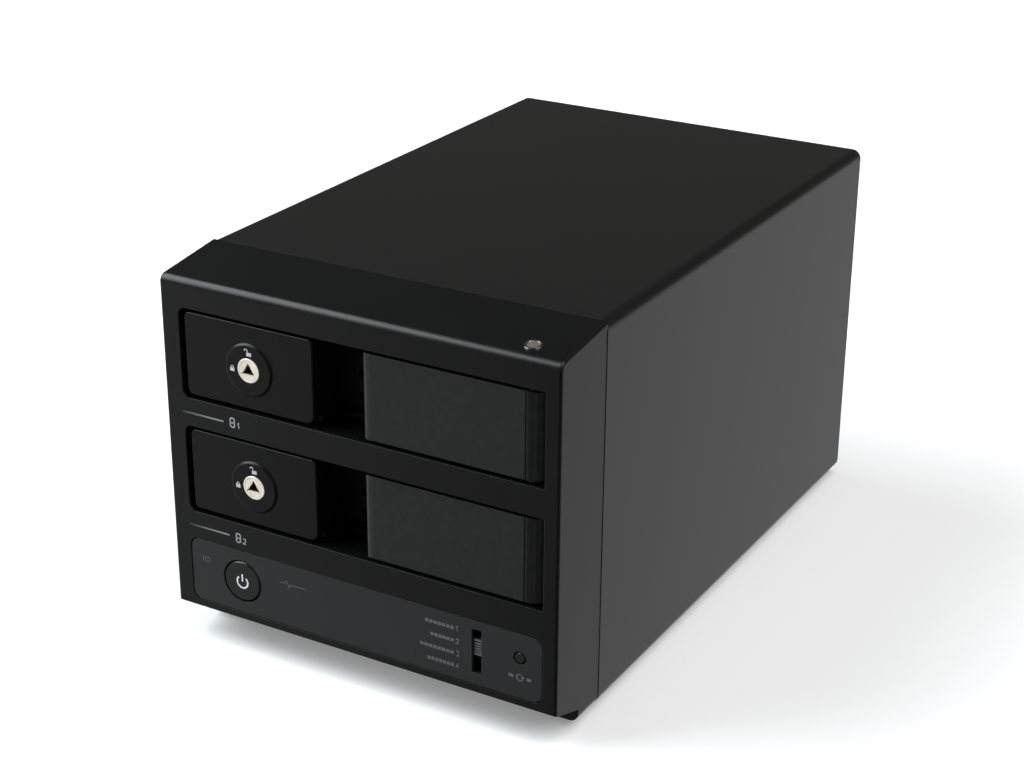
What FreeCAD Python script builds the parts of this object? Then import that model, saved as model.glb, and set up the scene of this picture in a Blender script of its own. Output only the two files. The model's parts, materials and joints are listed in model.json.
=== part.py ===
"""Two-bay network attached storage enclosure with key-locked doors, modelled in millimetres.

Frame: X to the right, Y to the back, Z up. The origin is the middle of the bounding box at the
level of the feet, so the front face is at -body_depth / 2 and the ground is at zero.
"""
import FreeCAD, Part
import Sketcher
import math
import os
import re

V = FreeCAD.Vector

DIMENSIONS = (
    # construction
    ("lap", 0.1, "pieces of one sub-part overlap by this much"),
    ("past", 1.0, "cutting shapes reach this far beyond a face"),
    # casing
    ("body_width", 130.0, "cover, outside"),
    ("body_depth", 206.8, "front face to the rear edge of the cover"),
    ("body_height", 116.6, "cover, outside, without feet"),
    ("foot_height", 2.0, "rubber feet"),
    ("foot_radius", 6.0, "rubber feet"),
    ("foot_taper", 0.6, "rubber feet are this much narrower at the ground, on the radius"),
    ("foot_inset", 13.0, "foot axis in from the cover's side"),
    ("foot_front", 30.0, "front foot axis behind the front face"),
    ("foot_back", 192.0, "rear foot axis behind the front face"),
    ("corner_round", 3.0, "long edges of the cover"),
    ("cover_wall", 1.8, "cover, wall"),
    # front bezel
    ("bezel_depth", 24.9, "front face to the seam with the cover"),
    ("bezel_inset", 0.15, "bezel stands this much inside the cover's outline"),
    ("bezel_round", 0.8, "side edges of the bezel"),
    ("brow_drop", 3.4, "top slopes down by this much towards the front"),
    ("brow_round", 2.5, "top front edge"),
    ("chin_lift", 9.1, "bottom edge of the front face above the base"),
    ("chin_heel", 4.4, "back end of the sloping chin above the base"),
    ("chin_depth", 13.0, "length of the chin from the front face"),
    ("skin", 2.6, "front wall of the bezel"),
    ("side_skin", 2.2, "side walls of the bezel"),
    ("hollow_low", 11.0, "floor of the bezel's hollow above the base"),
    ("hollow_high", 111.0, "roof of the bezel's hollow above the base"),
    ("collar_depth", 14.0, "collar round each bay opening, from the front face"),
    ("collar_wall", 1.8, "collar round each bay opening"),
    ("boss_depth", 7.2, "hinge bosses, from the front face"),
    ("boss_tall", 4.0, "hinge bosses, above and below the bay opening"),
    ("boss_side", 4.0, "hinge bosses, left of the hinge axis"),
    ("tongue", 4.0, "tongue of the bezel inside the cover"),
    ("tongue_wall", 1.6, "tongue of the bezel inside the cover"),
    ("tongue_play", 0.1, "tongue to cover"),
    # bays and doors
    ("bay_shift", 0.85, "bay middle to the right of the body's middle"),
    ("bay_width", 119.0, "bay opening"),
    ("bay_height", 27.7, "bay opening"),
    ("bay_low", 54.45, "middle of the lower bay above the base"),
    ("bay_pitch", 36.4, "between the bay middles"),
    ("bay_corner", 2.6, "rounding of the opening on the lock side"),
    ("door_inset", 0.6, "door face behind the front face"),
    ("door_wall", 2.6, "front wall of the door"),
    ("door_rim", 1.6, "edge walls of the door"),
    ("door_back", 13.0, "back of the door moulding behind the front face"),
    ("door_left", 58.05, "door edge left of the bay middle"),
    ("door_low", 12.85, "door edge below the bay middle"),
    ("door_high", 12.65, "door edge above the bay middle"),
    ("door_corner", 1.8, "rounding of the door on the lock side"),
    ("door_edge", 0.5, "softened front edges of the lock panel"),
    ("handle_edge", 1.4, "rounded edge of the handle beside the finger gap"),
    ("liner", 1.6, "plate behind the door moulding"),
    ("liner_margin", 0.3, "plate stands in from the door's outline"),
    ("finger_left", 13.9, "finger gap, left side, left of the bay middle"),
    ("finger_right", 2.3, "finger gap, right side, right of the bay middle"),
    ("finger_hook", 5.0, "finger gap goes this far behind the handle"),
    ("finger_rim", 10.5, "top and bottom lips of the finger gap behind the front face"),
    ("gap_corner_depth", 4.0, "rounded corners beside the finger gap, behind the front face"),
    ("gap_corner_top", 1.5, "upper corner of the lock panel beside the finger gap"),
    ("gap_corner_low", 3.0, "lower corner of the lock panel beside the finger gap"),
    ("handle_line", 0.7, "groove that ends the flat handle, left of the hinge axis"),
    ("handle_line_width", 0.36, "groove that ends the flat handle"),
    ("handle_line_depth", 0.3, "groove that ends the flat handle"),
    ("vent_left", -5.9, "middle of the air slots' round left ends from the bay middle"),
    ("vent_reach", 4.35, "right end of the air slots past the finger gap"),
    ("vent_pitch", 6.7, "between the air slots"),
    ("vent_half", 1.25, "half the height of an air slot"),
    ("hinge_inset", 5.45, "hinge axis in from the right side of the opening"),
    ("hinge_depth", 3.2, "hinge axis behind the front face"),
    ("pin_radius", 1.0, "hinge pin"),
    ("pin_play", 0.05, "running clearance of pins and plugs, on the radius"),
    ("pin_bite", 3.0, "length of the pin held in the bezel at each end"),
    ("barrel_radius", 5.0, "round hinge end of the door"),
    ("barrel_depth", 5.6, "middle of the round hinge end behind the front face"),
    ("swing_room", 8.6, "door is cut away behind the hinge from this depth"),
    ("handle_solid", 7.0, "solid part of the handle left of the hinge axis"),
    ("liner_end", 5.0, "end of the plate left of the hinge axis"),
    # lock
    ("lock_x", -34.9, "lock axis"),
    ("lock_drop", 0.8, "lock axis below the bay middle"),
    ("disc_foot", 8.2, "radius of the raised disc round the lock, at the door face"),
    ("disc_top", 7.5, "radius of the raised disc at its own face"),
    ("disc_height", 0.5, "raised disc in front of the door face"),
    ("lock_proud", 0.1, "lock face in front of the raised disc"),
    ("lock_radius", 3.75, "outside of the lock barrel"),
    ("lock_bevel", 0.25, "edge of the lock barrel"),
    ("lock_flange", 1.4, "flange of the barrel behind the door wall, on the radius"),
    ("lock_back", 6.0, "back of the barrel behind the front face"),
    ("plug_radius", 3.1, "turning plug"),
    ("plug_back", 9.0, "back of the plug behind the front face"),
    ("key_half", 2.2, "half the width of the key socket"),
    ("key_low", 1.2, "key socket below the lock axis"),
    ("key_high", 2.3, "key socket above the lock axis"),
    ("key_depth", 4.0, "key socket"),
    ("key_notch", 0.3, "guide notch at the corner of the key socket"),
    ("key_notch_depth", 1.5, "guide notch at the corner of the key socket"),
    ("crank_arm", 4.0, "crank pin from the lock axis"),
    ("crank_radius", 0.8, "crank pin"),
    ("crank_rim", 0.4, "crank disc beyond the crank pin"),
    ("crank_thick", 1.2, "crank disc"),
    ("crank_proud", 0.3, "crank pin behind the bolt"),
    ("bolt_front", 10.7, "front of the sliding bolt behind the front face"),
    ("bolt_thick", 1.5, "sliding bolt"),
    ("bolt_tall", 6.0, "tip of the sliding bolt"),
    ("bolt_home", 0.3, "unlocked bolt inside the door's edge"),
    ("bolt_reach", 17.0, "right end of the bolt's tip from the door's edge"),
    ("bolt_play", 0.4, "clearance round the bolt in the door and the bezel"),
    ("yoke_left", 9.0, "yoke of the bolt left of the lock axis"),
    ("yoke_right", 3.4, "yoke of the bolt right of the lock axis"),
    ("yoke_low", 4.5, "yoke of the bolt below the lock axis"),
    ("yoke_high", 7.0, "yoke of the bolt above the lock axis"),
    ("way_ahead", 1.2, "play in the yoke on the side the crank pin leads"),
    ("way_behind", 0.35, "play in the yoke on the side the crank pin trails"),
    ("way_low", 1.4, "slot of the yoke below the lock axis"),
    ("way_high", 5.2, "slot of the yoke above the lock axis"),
    # control strip
    ("panel_shift", 0.7, "middle of the control strip"),
    ("panel_width", 119.6, "recess of the control strip"),
    ("panel_height", 20.8, "recess of the control strip"),
    ("panel_middle", 21.6, "middle of the control strip above the base"),
    ("panel_round", 3.0, "corners of the control strip"),
    ("panel_thick", 1.0, "depth of the recess"),
    ("panel_gap", 0.25, "gap all round the control strip"),
    ("panel_face", 0.1, "control strip behind the front face"),
    ("trim_back", 4.0, "back of the trim set through the bezel's front wall"),
    ("power_x", -40.65, "power button axis"),
    ("power_up", 21.7, "power button axis above the base"),
    ("power_radius", 6.35, "power button"),
    ("power_gap", 0.45, "gap round the power button"),
    ("power_face", 0.05, "power button behind the front face"),
    ("power_bevel", 0.35, "edge of the power button"),
    ("power_stem", 1.75, "stem of the power button, radius"),
    ("power_switch_half", 3.1, "half the side of the power switch"),
    ("mode_x", 53.3, "mode button axis"),
    ("mode_up", 24.1, "mode button axis above the base"),
    ("mode_radius", 1.6, "mode button"),
    ("mode_gap", 0.38, "gap round the mode button"),
    ("mode_face", 0.15, "mode button behind the front face"),
    ("mode_bevel", 0.2, "edge of the mode button"),
    ("mode_stem", 0.95, "stem of the mode button, radius"),
    ("mode_switch_half", 2.4, "half the side of the mode switch"),
    ("flange_gap", 0.3, "button flange behind the bezel's front wall"),
    ("flange_thick", 1.0, "button flange"),
    ("flange_reach", 1.0, "button flange beyond the button, on the radius"),
    ("stem_back", 9.2, "end of the button stems behind the front face"),
    ("stem_play", 0.1, "stem in its switch, on the radius"),
    ("switch_front", 8.0, "front of the switches behind the front face"),
    ("switch_hole", 10.8, "bottom of the stem holes behind the front face"),
    ("slot_x", 39.55, "selector slot"),
    ("slot_width", 3.1, "selector slot"),
    ("slot_low", 15.1, "bottom of the selector slot above the base"),
    ("slot_high", 28.9, "top of the selector slot above the base"),
    ("knob_up", 22.95, "selector knob at rest above the base"),
    ("knob_tall", 5.1, "selector knob"),
    ("knob_width", 2.6, "selector knob"),
    ("knob_front", 0.9, "selector knob behind the front face"),
    ("knob_back", 5.5, "back of the thumb piece behind the front face"),
    ("knob_groove", 0.2, "half the height of a grip groove"),
    ("knob_groove_depth", 0.35, "grip grooves"),
    ("lever_half", 0.8, "half the width of the lever behind the knob"),
    ("lever_rise", 1.5, "half the height of the lever"),
    ("lever_back", 9.0, "end of the lever behind the front face"),
    ("selector_half", 3.0, "half the width of the selector switch"),
    ("selector_front", 7.0, "front of the selector switch behind the front face"),
    ("selector_low", 14.0, "selector switch above the base"),
    ("selector_high", 30.0, "selector switch above the base"),
    ("lever_way_half", 1.1, "half the width of the lever's way"),
    ("lever_way_back", 9.6, "bottom of the lever's way behind the front face"),
    ("lever_way_down", 7.0, "lever's way below the knob at rest"),
    ("lever_way_up", 4.5, "lever's way above the knob at rest"),
    ("light_from", -59.3, "left end of the light bars"),
    ("light_to", -44.5, "right end of the light bars"),
    ("light_tall", 0.5, "light bars"),
    ("light_drop", 4.6, "light bar below the bay opening"),
    ("light_face", 0.05, "light bars behind the front face"),
    ("lens_x", 53.0, "indicator on the sloping top"),
    ("lens_back", 6.3, "indicator behind the front face"),
    ("lens_radius", 1.9, "indicator lens"),
    ("lens_proud", 0.15, "indicator lens above the sloping top"),
    ("ring_radius", 2.5, "indicator ring"),
    ("ring_proud", 0.3, "indicator ring above the sloping top"),
    ("ring_sink", 3.0, "indicator below the sloping top"),
    ("ring_hole", 6.0, "hole for the indicator below the sloping top"),
    # drives, ejectors and cage
    ("drive_width", 101.6, "3.5 inch drive"),
    ("drive_length", 147.0, "3.5 inch drive"),
    ("drive_height", 26.1, "3.5 inch drive"),
    ("drive_front", 19.5, "drive behind the front face"),
    ("drive_base", 2.2, "underside of the case above the drive's underside"),
    ("lid_thick", 1.5, "drive lid"),
    ("lid_margin", 0.6, "drive lid in from the case"),
    ("well_radius", 47.0, "disc well"),
    ("well_back", 52.0, "axis of the disc well behind the drive's front"),
    ("well_floor", 6.0, "floor of the disc well above the drive's underside"),
    ("plug_left", -37.0, "left end of the drive plug from the bay middle"),
    ("plug_right", 3.0, "right end of the drive plug from the bay middle"),
    ("plug_margin", 1.5, "pocket round the drive plug"),
    ("plug_room", 9.5, "roof of the plug's pocket above the drive's underside"),
    ("plug_pocket", 6.5, "length of the plug's pocket"),
    ("blade_inset", 2.0, "contact blade in from the ends of the plug"),
    ("blade_root", 8.0, "front end of the contact blade before the drive's back"),
    ("blade_end", 1.5, "rear end of the contact blade before the drive's back"),
    ("blade_low", 1.6, "contact blade above the drive's underside"),
    ("blade_high", 2.8, "contact blade above the drive's underside"),
    ("drive_board_half", 48.0, "half the width of the drive's board"),
    ("drive_board_front", 70.0, "drive's board behind the drive's front"),
    ("drive_board_end", 7.0, "drive's board before the drive's back"),
    ("drive_board_low", 0.6, "drive's board above the drive's underside"),
    ("cage_half", 57.85, "inside of the cage from the bay middle"),
    ("cage_sheet", 1.0, "sheet steel"),
    ("cage_front", 30.0, "front of the cage behind the front face"),
    ("cage_top", 107.0, "top of the cage above the base"),
    ("cage_window_low", 16.0, "air windows in the cage sides above the base"),
    ("cage_window_high", 32.0, "air windows in the cage sides above the base"),
    ("flap", 10.0, "rear flanges of the cage"),
    ("flap_low", 30.0, "rear flanges above the base"),
    ("shelf_drop", 15.45, "shelf top below the bay middle"),
    ("shelf_back", 165.0, "rear edge of the shelves behind the front face"),
    ("shelf_window", 40.0, "half the width of the openings in the shelves"),
    ("bar_outer", 1.3, "ejector bar inside the cage"),
    ("bar_thick", 1.0, "ejector bar"),
    ("bar_half", 5.0, "half the height of the ejector bar"),
    ("bar_front", 22.0, "front of the ejector bar behind the front face"),
    ("bar_play", 0.3, "ejector bar in its groove and behind the drive"),
    ("hook_thick", 1.5, "hook of the ejector bar"),
    ("hook_reach", 6.0, "hook and rail ledges under the drive's edge"),
    ("rail_back", 155.0, "rear end of the rails behind the front face"),
    ("rail_high", 8.0, "rails above the bay middle"),
    ("rail_play", 0.3, "drive above the rail ledge"),
    ("slide_gap", 0.4, "drive to rail"),
    ("tray_floor", 1.9, "underside of the base tray above the base"),
    ("tray_lip", 9.0, "side lips of the base tray above the base"),
    ("tray_gap", 0.7, "base tray to cover and bezel"),
    ("standoff_radius", 2.5, "board standoffs"),
    # boards and sockets
    ("board", 1.6, "circuit boards"),
    ("front_board_y", 12.0, "front board behind the front face"),
    ("front_board_left", -52.0, "front board"),
    ("front_board_right", 58.0, "front board"),
    ("front_board_low", 12.8, "front board above the base"),
    ("front_board_high", 31.5, "front board above the base"),
    ("main_up", 11.0, "underside of the main board above the base"),
    ("main_left", -55.0, "main board"),
    ("main_right", 57.0, "main board"),
    ("main_front", 16.5, "front edge of the main board behind the front face"),
    ("main_back", 203.0, "rear edge of the main board behind the front face"),
    ("header_half", 12.0, "half the width of the front header"),
    ("header_back", 24.0, "back of the front header behind the front face"),
    ("header_tall", 5.0, "front header"),
    ("chip_tall", 1.4, "chips"),
    ("can_radius", 3.1, "capacitors"),
    ("can_tall", 8.0, "capacitors"),
    ("sink_half", 12.0, "half the width of the heat sink"),
    ("sink_front", 86.0, "heat sink behind the front face"),
    ("sink_back", 110.0, "heat sink behind the front face"),
    ("sink_base", 3.0, "base of the heat sink"),
    ("sink_tall", 12.0, "heat sink"),
    ("fin_half", 0.6, "half the thickness of a fin"),
    ("fin_pitch", 4.0, "between the fins"),
    ("backplane_y", 171.0, "backplane behind the front face"),
    ("backplane_half", 50.0, "half the width of the backplane"),
    ("backplane_low", 17.0, "backplane above the base"),
    ("backplane_high", 105.0, "backplane above the base"),
    ("slot_half", 34.0, "half the width of the backplane's slot connector"),
    ("slot_lips", 3.2, "slot connector in front of and behind the backplane"),
    ("slot_tall", 6.0, "slot connector"),
    ("slot_play", 0.2, "backplane in its slot connector, at its ends"),
    ("socket_front", 5.2, "drive socket before the drive's back"),
    ("socket_low", 0.3, "drive socket above the drive's underside"),
    ("socket_tall", 6.0, "drive socket"),
    ("socket_way_inset", 1.7, "way of the contact blade in from the ends of the socket"),
    ("socket_way_low", 1.3, "way of the contact blade above the drive's underside"),
    ("socket_way_high", 3.1, "way of the contact blade above the drive's underside"),
    ("port_length", 14.0, "ports reach this far forward of the main board's rear edge"),
    ("port_play", 0.2, "rear panel round a port"),
    ("port_floor", 192.0, "inner end of the data port behind the front face"),
    ("port_tongue_end", 204.5, "mouth end of the contact tongues behind the front face"),
    ("jack_up", 6.2, "axis of the power inlet above the board"),
    ("jack_radius", 3.2, "bore of the power inlet"),
    ("jack_pin", 1.05, "pin of the power inlet, radius"),
    # rear panel and fan
    ("plate_back", 1.5, "rear panel inside the cover's rear edge"),
    ("plate", 1.2, "rear panel"),
    ("plate_play", 0.3, "rear panel to cover"),
    ("grille_hole", 2.1, "holes of the fan grille, radius"),
    ("grille_pitch", 5.9, "between the rings of holes"),
    ("vent_x", 38.5, "middle of the side vents"),
    ("vent_slot_half", 5.0, "half the length of a side vent"),
    ("vent_slot_rise", 1.1, "half the height of a side vent"),
    ("vent_first", 50.0, "lowest side vent above the base"),
    ("vent_step", 7.0, "between the side vents"),
    ("security_left", 50.0, "security slot"),
    ("security_right", 57.0, "security slot"),
    ("security_low", 13.0, "security slot above the base"),
    ("security_high", 16.0, "security slot above the base"),
    ("rear_screw", 1.4, "rear panel screws, radius"),
    ("rear_screw_length", 5.0, "rear panel screws"),
    ("rear_screw_inset", 5.0, "rear panel screws inside the cage"),
    ("fan_screw", 2.0, "fan screws, radius"),
    ("fan_screw_length", 8.0, "fan screws"),
    ("screw_play", 0.1, "fan screws in the rear panel, on the radius"),
    ("screw_head", 1.9, "screw head radius as a multiple of the shank's"),
    ("screw_head_tall", 1.3, "screw heads"),
    ("screw_slot_half", 0.35, "half the width of the cross slots"),
    ("screw_slot_floor", 0.5, "bottom of the cross slots above the panel"),
    ("fan_up", 72.0, "fan axis above the base"),
    ("fan_size", 60.0, "fan"),
    ("fan_deep", 15.0, "fan"),
    ("fan_bore", 28.5, "radius of the fan's duct"),
    ("fan_holes", 50.0, "spacing of the fan's screws"),
    ("seat_radius", 12.0, "motor seat"),
    ("seat_front", 2.2, "front of the motor seat before the rear panel"),
    ("seat_back", 0.4, "back of the motor seat before the rear panel"),
    ("strut_half", 1.3, "half the width of the struts"),
    ("strut_reach", 29.0, "struts from the fan axis"),
    ("shaft_radius", 1.5, "fan shaft"),
    ("shaft_front", 4.0, "front of the shaft before the rear panel"),
    ("shaft_end", 0.8, "end of the shaft before the rear panel"),
    ("hub_radius", 12.5, "fan hub"),
    ("hub_front", 14.0, "front of the hub before the rear panel"),
    ("hub_back", 3.0, "back of the hub before the rear panel"),
    ("hub_wall", 0.5, "blades start this much inside the hub's surface"),
    ("blade_tip", 27.6, "radius of the fan wheel"),
    ("blade_front", 13.6, "front of the blades before the rear panel"),
    ("blade_back", 3.4, "back of the blades before the rear panel"),
    ("blade_thick", 1.2, "fan blades"),
    ("blade_chord", 16.0, "fan blades before they are trimmed"),
    ("blade_pitch", 38.0, "angle of the blades to the axis, degrees"),
)

# Limits along Y, behind the front face
CAGE_WINDOWS = (("36", "86"), ("96", "146"), ("180", "198"))
SHELF_WINDOWS = (("36", "66"), ("76", "106"), ("116", "146"))
# Heights of the rear panel's screws above the base
REAR_SCREWS = ("36", "68", "100")
# Places on the main board: x, and depth behind the front face
STANDOFFS = tuple((x, y) for x in ("-48", "50") for y in ("44", "112", "180"))
CAPACITORS = (("44", "150"), ("44", "160"), ("36", "160"), ("44", "140"), ("-46", "150"), ("-46", "160"))
# Left edge, front edge, width and length of each chip
CHIPS = ((-40, 60, 12, 9.6), (-18, 64, 8, 6.4), (24, 58, 14, 11.2), (-44, 120, 9, 7.2), (12, 128, 11, 8.8))
FINS = (-11, -7, -3, 1, 5, 9)
# Middle, width and height of each port
PORTS = {"usb_port": (-24, 12.4, 11.6), "esata_port": (2, 15.0, 6.4), "power_inlet": (30, 9.2, 11.2)}
# Ways into each data socket, then its contact tongue: half width, low and high above the board
PORT_MOUTHS = {
    "usb_port": (((4.5, 1.0, 7.6), (3.6, 7.4, 10.6)), (2.8, 2.8, 5.8)),
    "esata_port": (((6.4, 1.2, 5.2),), (5.0, 2.4, 3.6)),
}
# Rings of the fan grille: ring number and count of holes
GRILLE = ((1, 6), (2, 12), (3, 18), (4, 24))
SIDE_VENTS = 7
BLADES = 7
GRIP_GROOVES = (-2, -1, 0, 1, 2)
# Edges nearer than TOUCH to a plane lie in it, those farther than APART are well clear of it
TOUCH = 0.01
APART = 1.0

doc = FreeCAD.newDocument("storage_enclosure")
dims = doc.addObject("Spreadsheet::Sheet", "dims")
for row, (alias, size, note) in enumerate(DIMENSIONS, 1):
    dims.set(f"A{row}", note)
    dims.set(f"B{row}", str(size))
    dims.setAlias(f"B{row}", alias)
doc.recompute()

ALIASES = {alias for alias, _, _ in DIMENSIONS}
SIZE = {alias: getattr(dims, alias) for alias in ALIASES}
BAYS = (1, 2)
NODES = []


# ---- helpers ---------------------------------------------------------------------------------

def cells(text):
    """Point every alias in an expression at its cell of the sheet."""
    return re.sub(r"[a-z_]+", lambda m: f"dims.{m[0]}" if m[0] in ALIASES else m[0], str(text))


def bind(item, prop, text):
    item.setExpression(prop, cells(text))


def deep(*marks):
    """Y coordinates of marks measured back from the front face."""
    found = tuple(f"{mark} - body_depth / 2" for mark in marks)
    return found if len(found) > 1 else found[0]


def tall(*marks):
    """Z coordinates of marks measured up from the underside of the cover."""
    found = tuple(f"{mark} + foot_height" for mark in marks)
    return found if len(found) > 1 else found[0]


def middle(bay):
    """Height of a bay's middle above the base: bay 1 is the upper one, bay 2 the lower one."""
    return f"bay_low + {2 - bay} * bay_pitch"


def bay_tall(bay, *marks):
    return tall(*(f"{mark} + {middle(bay)}" for mark in marks))


def bay_wide(*marks):
    """X coordinates of marks measured to the right from the bay's middle."""
    found = tuple(f"{mark} + bay_shift" for mark in marks)
    return found if len(found) > 1 else found[0]


def hinge_x(shift="0"):
    """X coordinate of a mark measured to the right from the hinge axis."""
    return bay_wide(f"bay_width / 2 - hinge_inset + ({shift})")


def about(centre, half):
    """Limits at equal distances on both sides of a centre."""
    return f"{centre} - ({half})", f"{centre} + ({half})"


def block(x, y, z):
    """A box between pairs of limits."""
    box = doc.addObject("Part::Box", "Block")
    for prop, axis, (low, high) in zip(("Length", "Width", "Height"), "xyz", (x, y, z)):
        bind(box, prop, f"({high}) - ({low})")
        bind(box, f"Placement.Base.{axis}", low)
    return box


TURNS = (FreeCAD.Rotation(V(0, 1, 0), 90), FreeCAD.Rotation(V(1, 0, 0), -90), FreeCAD.Rotation())


def rod(radius, x, y, z, top=None):
    """A round bar along whichever of x, y and z is a pair of limits; a cone if top is given."""
    spans = (x, y, z)
    run = next(i for i, span in enumerate(spans) if isinstance(span, tuple))
    if top is None:
        bar = doc.addObject("Part::Cylinder", "Rod")
        bind(bar, "Radius", radius)
    else:
        bar = doc.addObject("Part::Cone", "Cone")
        bind(bar, "Radius1", radius)
        bind(bar, "Radius2", top)
    bind(bar, "Height", f"({spans[run][1]}) - ({spans[run][0]})")
    bar.Placement = FreeCAD.Placement(V(), TURNS[run])
    for axis, span in zip("xyz", spans):
        bind(bar, f"Placement.Base.{axis}", span[0] if isinstance(span, tuple) else span)
    return bar


def fuse(*shapes):
    joined = doc.addObject("Part::MultiFuse", "Fusion")
    joined.Shapes = list(shapes)
    return joined


def cut(base, *tools):
    left = doc.addObject("Part::Cut", "Cut")
    left.Base = base
    left.Tool = tools[0] if len(tools) == 1 else fuse(*tools)
    return left


def group(*shapes):
    together = doc.addObject("Part::Compound", "Group")
    together.Links = list(shapes)
    return together


def node(shape, name):
    """Name a finished sub-part."""
    shape.Label = name
    NODES.append(shape)
    return shape


def edges(feature, wanted):
    """Numbers of the edges whose bounding box passes the test."""
    doc.recompute()
    return [i for i, edge in enumerate(feature.Shape.Edges, 1) if wanted(edge.BoundBox)]


def rounded(base, radius, wanted):
    """Round the edges of a plain shape."""
    soft = doc.addObject("Part::Fillet", "Rounding")
    soft.Base = base
    soft.Edges = [(i, SIZE[radius], SIZE[radius]) for i in edges(base, wanted)]
    return soft


def sketch(body, role, **offset):
    """A sketch on one of the body's own planes, moved by offsets along the plane's own axes."""
    drawing = body.newObject("Sketcher::SketchObject", "Sketch")
    plane = next(item for item in body.Origin.OriginFeatures if item.Role == role)
    drawing.AttachmentSupport = (plane, [""])
    drawing.MapMode = "FlatFace"
    for axis, shift in offset.items():
        bind(drawing, f"AttachmentOffset.Base.{axis}", shift)
    return drawing


def outline(drawing, corners):
    """A closed outline whose corners are pairs of expressions."""
    count = len(corners)
    first = drawing.GeometryCount
    start = [V(math.cos(2 * math.pi * i / count), math.sin(2 * math.pi * i / count), 0)
             for i in range(count)]
    for i in range(count):
        drawing.addGeometry(Part.LineSegment(start[i], start[(i + 1) % count]), False)
    for i in range(count):
        following = first + (i + 1) % count
        drawing.addConstraint(Sketcher.Constraint("Coincident", first + i, 2, following, 1))
    for i, corner in enumerate(corners):
        for kind, mark in zip(("DistanceX", "DistanceY"), corner):
            number = drawing.addConstraint(Sketcher.Constraint(kind, -1, 1, first + i, 1, 1.0))
            bind(drawing, f"Constraints[{number}]", mark)


def rectangle(drawing, u, v):
    outline(drawing, ((u[0], v[0]), (u[1], v[0]), (u[1], v[1]), (u[0], v[1])))


def pad(body, drawing, length, towards_back=False, both_ways=False):
    solid = body.newObject("PartDesign::Pad", "Pad")
    solid.Profile = drawing
    solid.Reversed = towards_back
    if both_ways:
        solid.SideType = "Symmetric"
    bind(solid, "Length", length)
    return solid


def round_feature(body, feature, radius, wanted):
    soft = body.newObject("PartDesign::Fillet", "Rounding")
    soft.Base = (feature, [f"Edge{i}" for i in edges(feature, wanted)])
    bind(soft, "Radius", radius)
    return soft


def plate_body(name, x, y, z, corner, wanted):
    """A flat plate facing the front, with rounded corners where wanted."""
    body = doc.addObject("PartDesign::Body", name)
    drawing = sketch(body, "XZ_Plane", z=f"-({y[0]})")
    rectangle(drawing, x, z)
    solid = pad(body, drawing, f"({y[1]}) - ({y[0]})", towards_back=True)
    round_feature(body, solid, corner, wanted)
    return body


def turned_body(name, x, z, profile):
    """A body turned about a line along Y at x and z; the profile is (depth, radius) pairs."""
    body = doc.addObject("PartDesign::Body", name)
    drawing = sketch(body, "YZ_Plane", y=z, z=x)
    outline(drawing, tuple((deep(depth), radius) for depth, radius in profile))
    solid = body.newObject("PartDesign::Revolution", "Turning")
    solid.Profile = drawing
    solid.ReferenceAxis = (drawing, ["H_Axis"])
    solid.Angle = 360
    return body


def along_x(box):
    return box.YLength < TOUCH and box.ZLength < TOUCH


def along_y(box):
    return box.XLength < TOUCH and box.ZLength < TOUCH


def along_z(box):
    return box.XLength < TOUCH and box.YLength < TOUCH


def screw(x, y_head, z, radius, length):
    """A cross-head screw that enters towards the front, its head resting at y_head."""
    head = rod(f"{radius} * screw_head", x, (y_head, f"{y_head} + screw_head_tall"), z)
    shank = rod(radius, x, (f"{y_head} - {length}", y_head), z)
    slot = (f"{y_head} + screw_slot_floor", f"{y_head} + screw_head_tall + past")
    flat = block(about(x, radius), slot, about(z, "screw_slot_half"))
    upright = block(about(x, "screw_slot_half"), slot, about(z, radius))
    return cut(fuse(head, shank), flat, upright)


# ---- casing ----------------------------------------------------------------------------------

def make_cover():
    """Seamless rectangular tube with rounded long edges, open at both ends."""
    body = doc.addObject("PartDesign::Body", "CoverBody")
    drawing = sketch(body, "XZ_Plane", z=f"-({deep('bezel_depth')})")
    rectangle(drawing, about("0", "body_width / 2"), tall("0", "body_height"))
    solid = pad(body, drawing, "body_depth - bezel_depth", towards_back=True)
    round_feature(body, solid, "corner_round", along_y)
    inside = block(
        about("0", "body_width / 2 - cover_wall"),
        deep("bezel_depth - past", "body_depth + past"),
        tall("cover_wall", "body_height - cover_wall"),
    )
    node(cut(body, inside), "cover")


def bezel_outside():
    """Outer form of the bezel: sloping brow, raised chin with a step behind it."""
    body = doc.addObject("PartDesign::Body", "BezelBody")
    drawing = sketch(body, "YZ_Plane")
    outline(drawing, (
        (deep("0"), tall("chin_lift")),
        (deep("0"), tall("body_height - brow_drop")),
        (deep("bezel_depth"), tall("body_height - bezel_inset")),
        (deep("bezel_depth"), tall("bezel_inset")),
        (deep("chin_depth"), tall("bezel_inset")),
        (deep("chin_depth"), tall("chin_heel")),
    ))
    solid = pad(body, drawing, "body_width - 2 * bezel_inset", both_ways=True)
    front = -SIZE["body_depth"] / 2
    seam = front + SIZE["bezel_depth"]
    half = SIZE["body_width"] / 2 - SIZE["bezel_inset"]
    brow_level = SIZE["body_height"] - SIZE["brow_drop"] + SIZE["foot_height"]
    below_brow = brow_level - SIZE["brow_round"] - APART
    base = SIZE["bezel_inset"] + SIZE["foot_height"]

    def brow(box):
        return along_x(box) and abs(box.YMin - front) < TOUCH and abs(box.ZMin - brow_level) < TOUCH

    def flank(box):
        on_side = box.XLength < TOUCH and abs(abs(box.XMin) - half) < TOUCH
        front_corner = box.YLength < TOUCH and box.ZMax > below_brow
        return on_side and (box.ZMax > brow_level or front_corner) and box.YMin < seam - APART

    def heel(box):
        return along_y(box) and abs(box.ZMin - base) < TOUCH

    soft = round_feature(body, solid, "brow_round", brow)
    sides = round_feature(body, soft, "bezel_round", flank)
    round_feature(body, sides, "corner_round - bezel_inset", heel)
    return body


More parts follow.
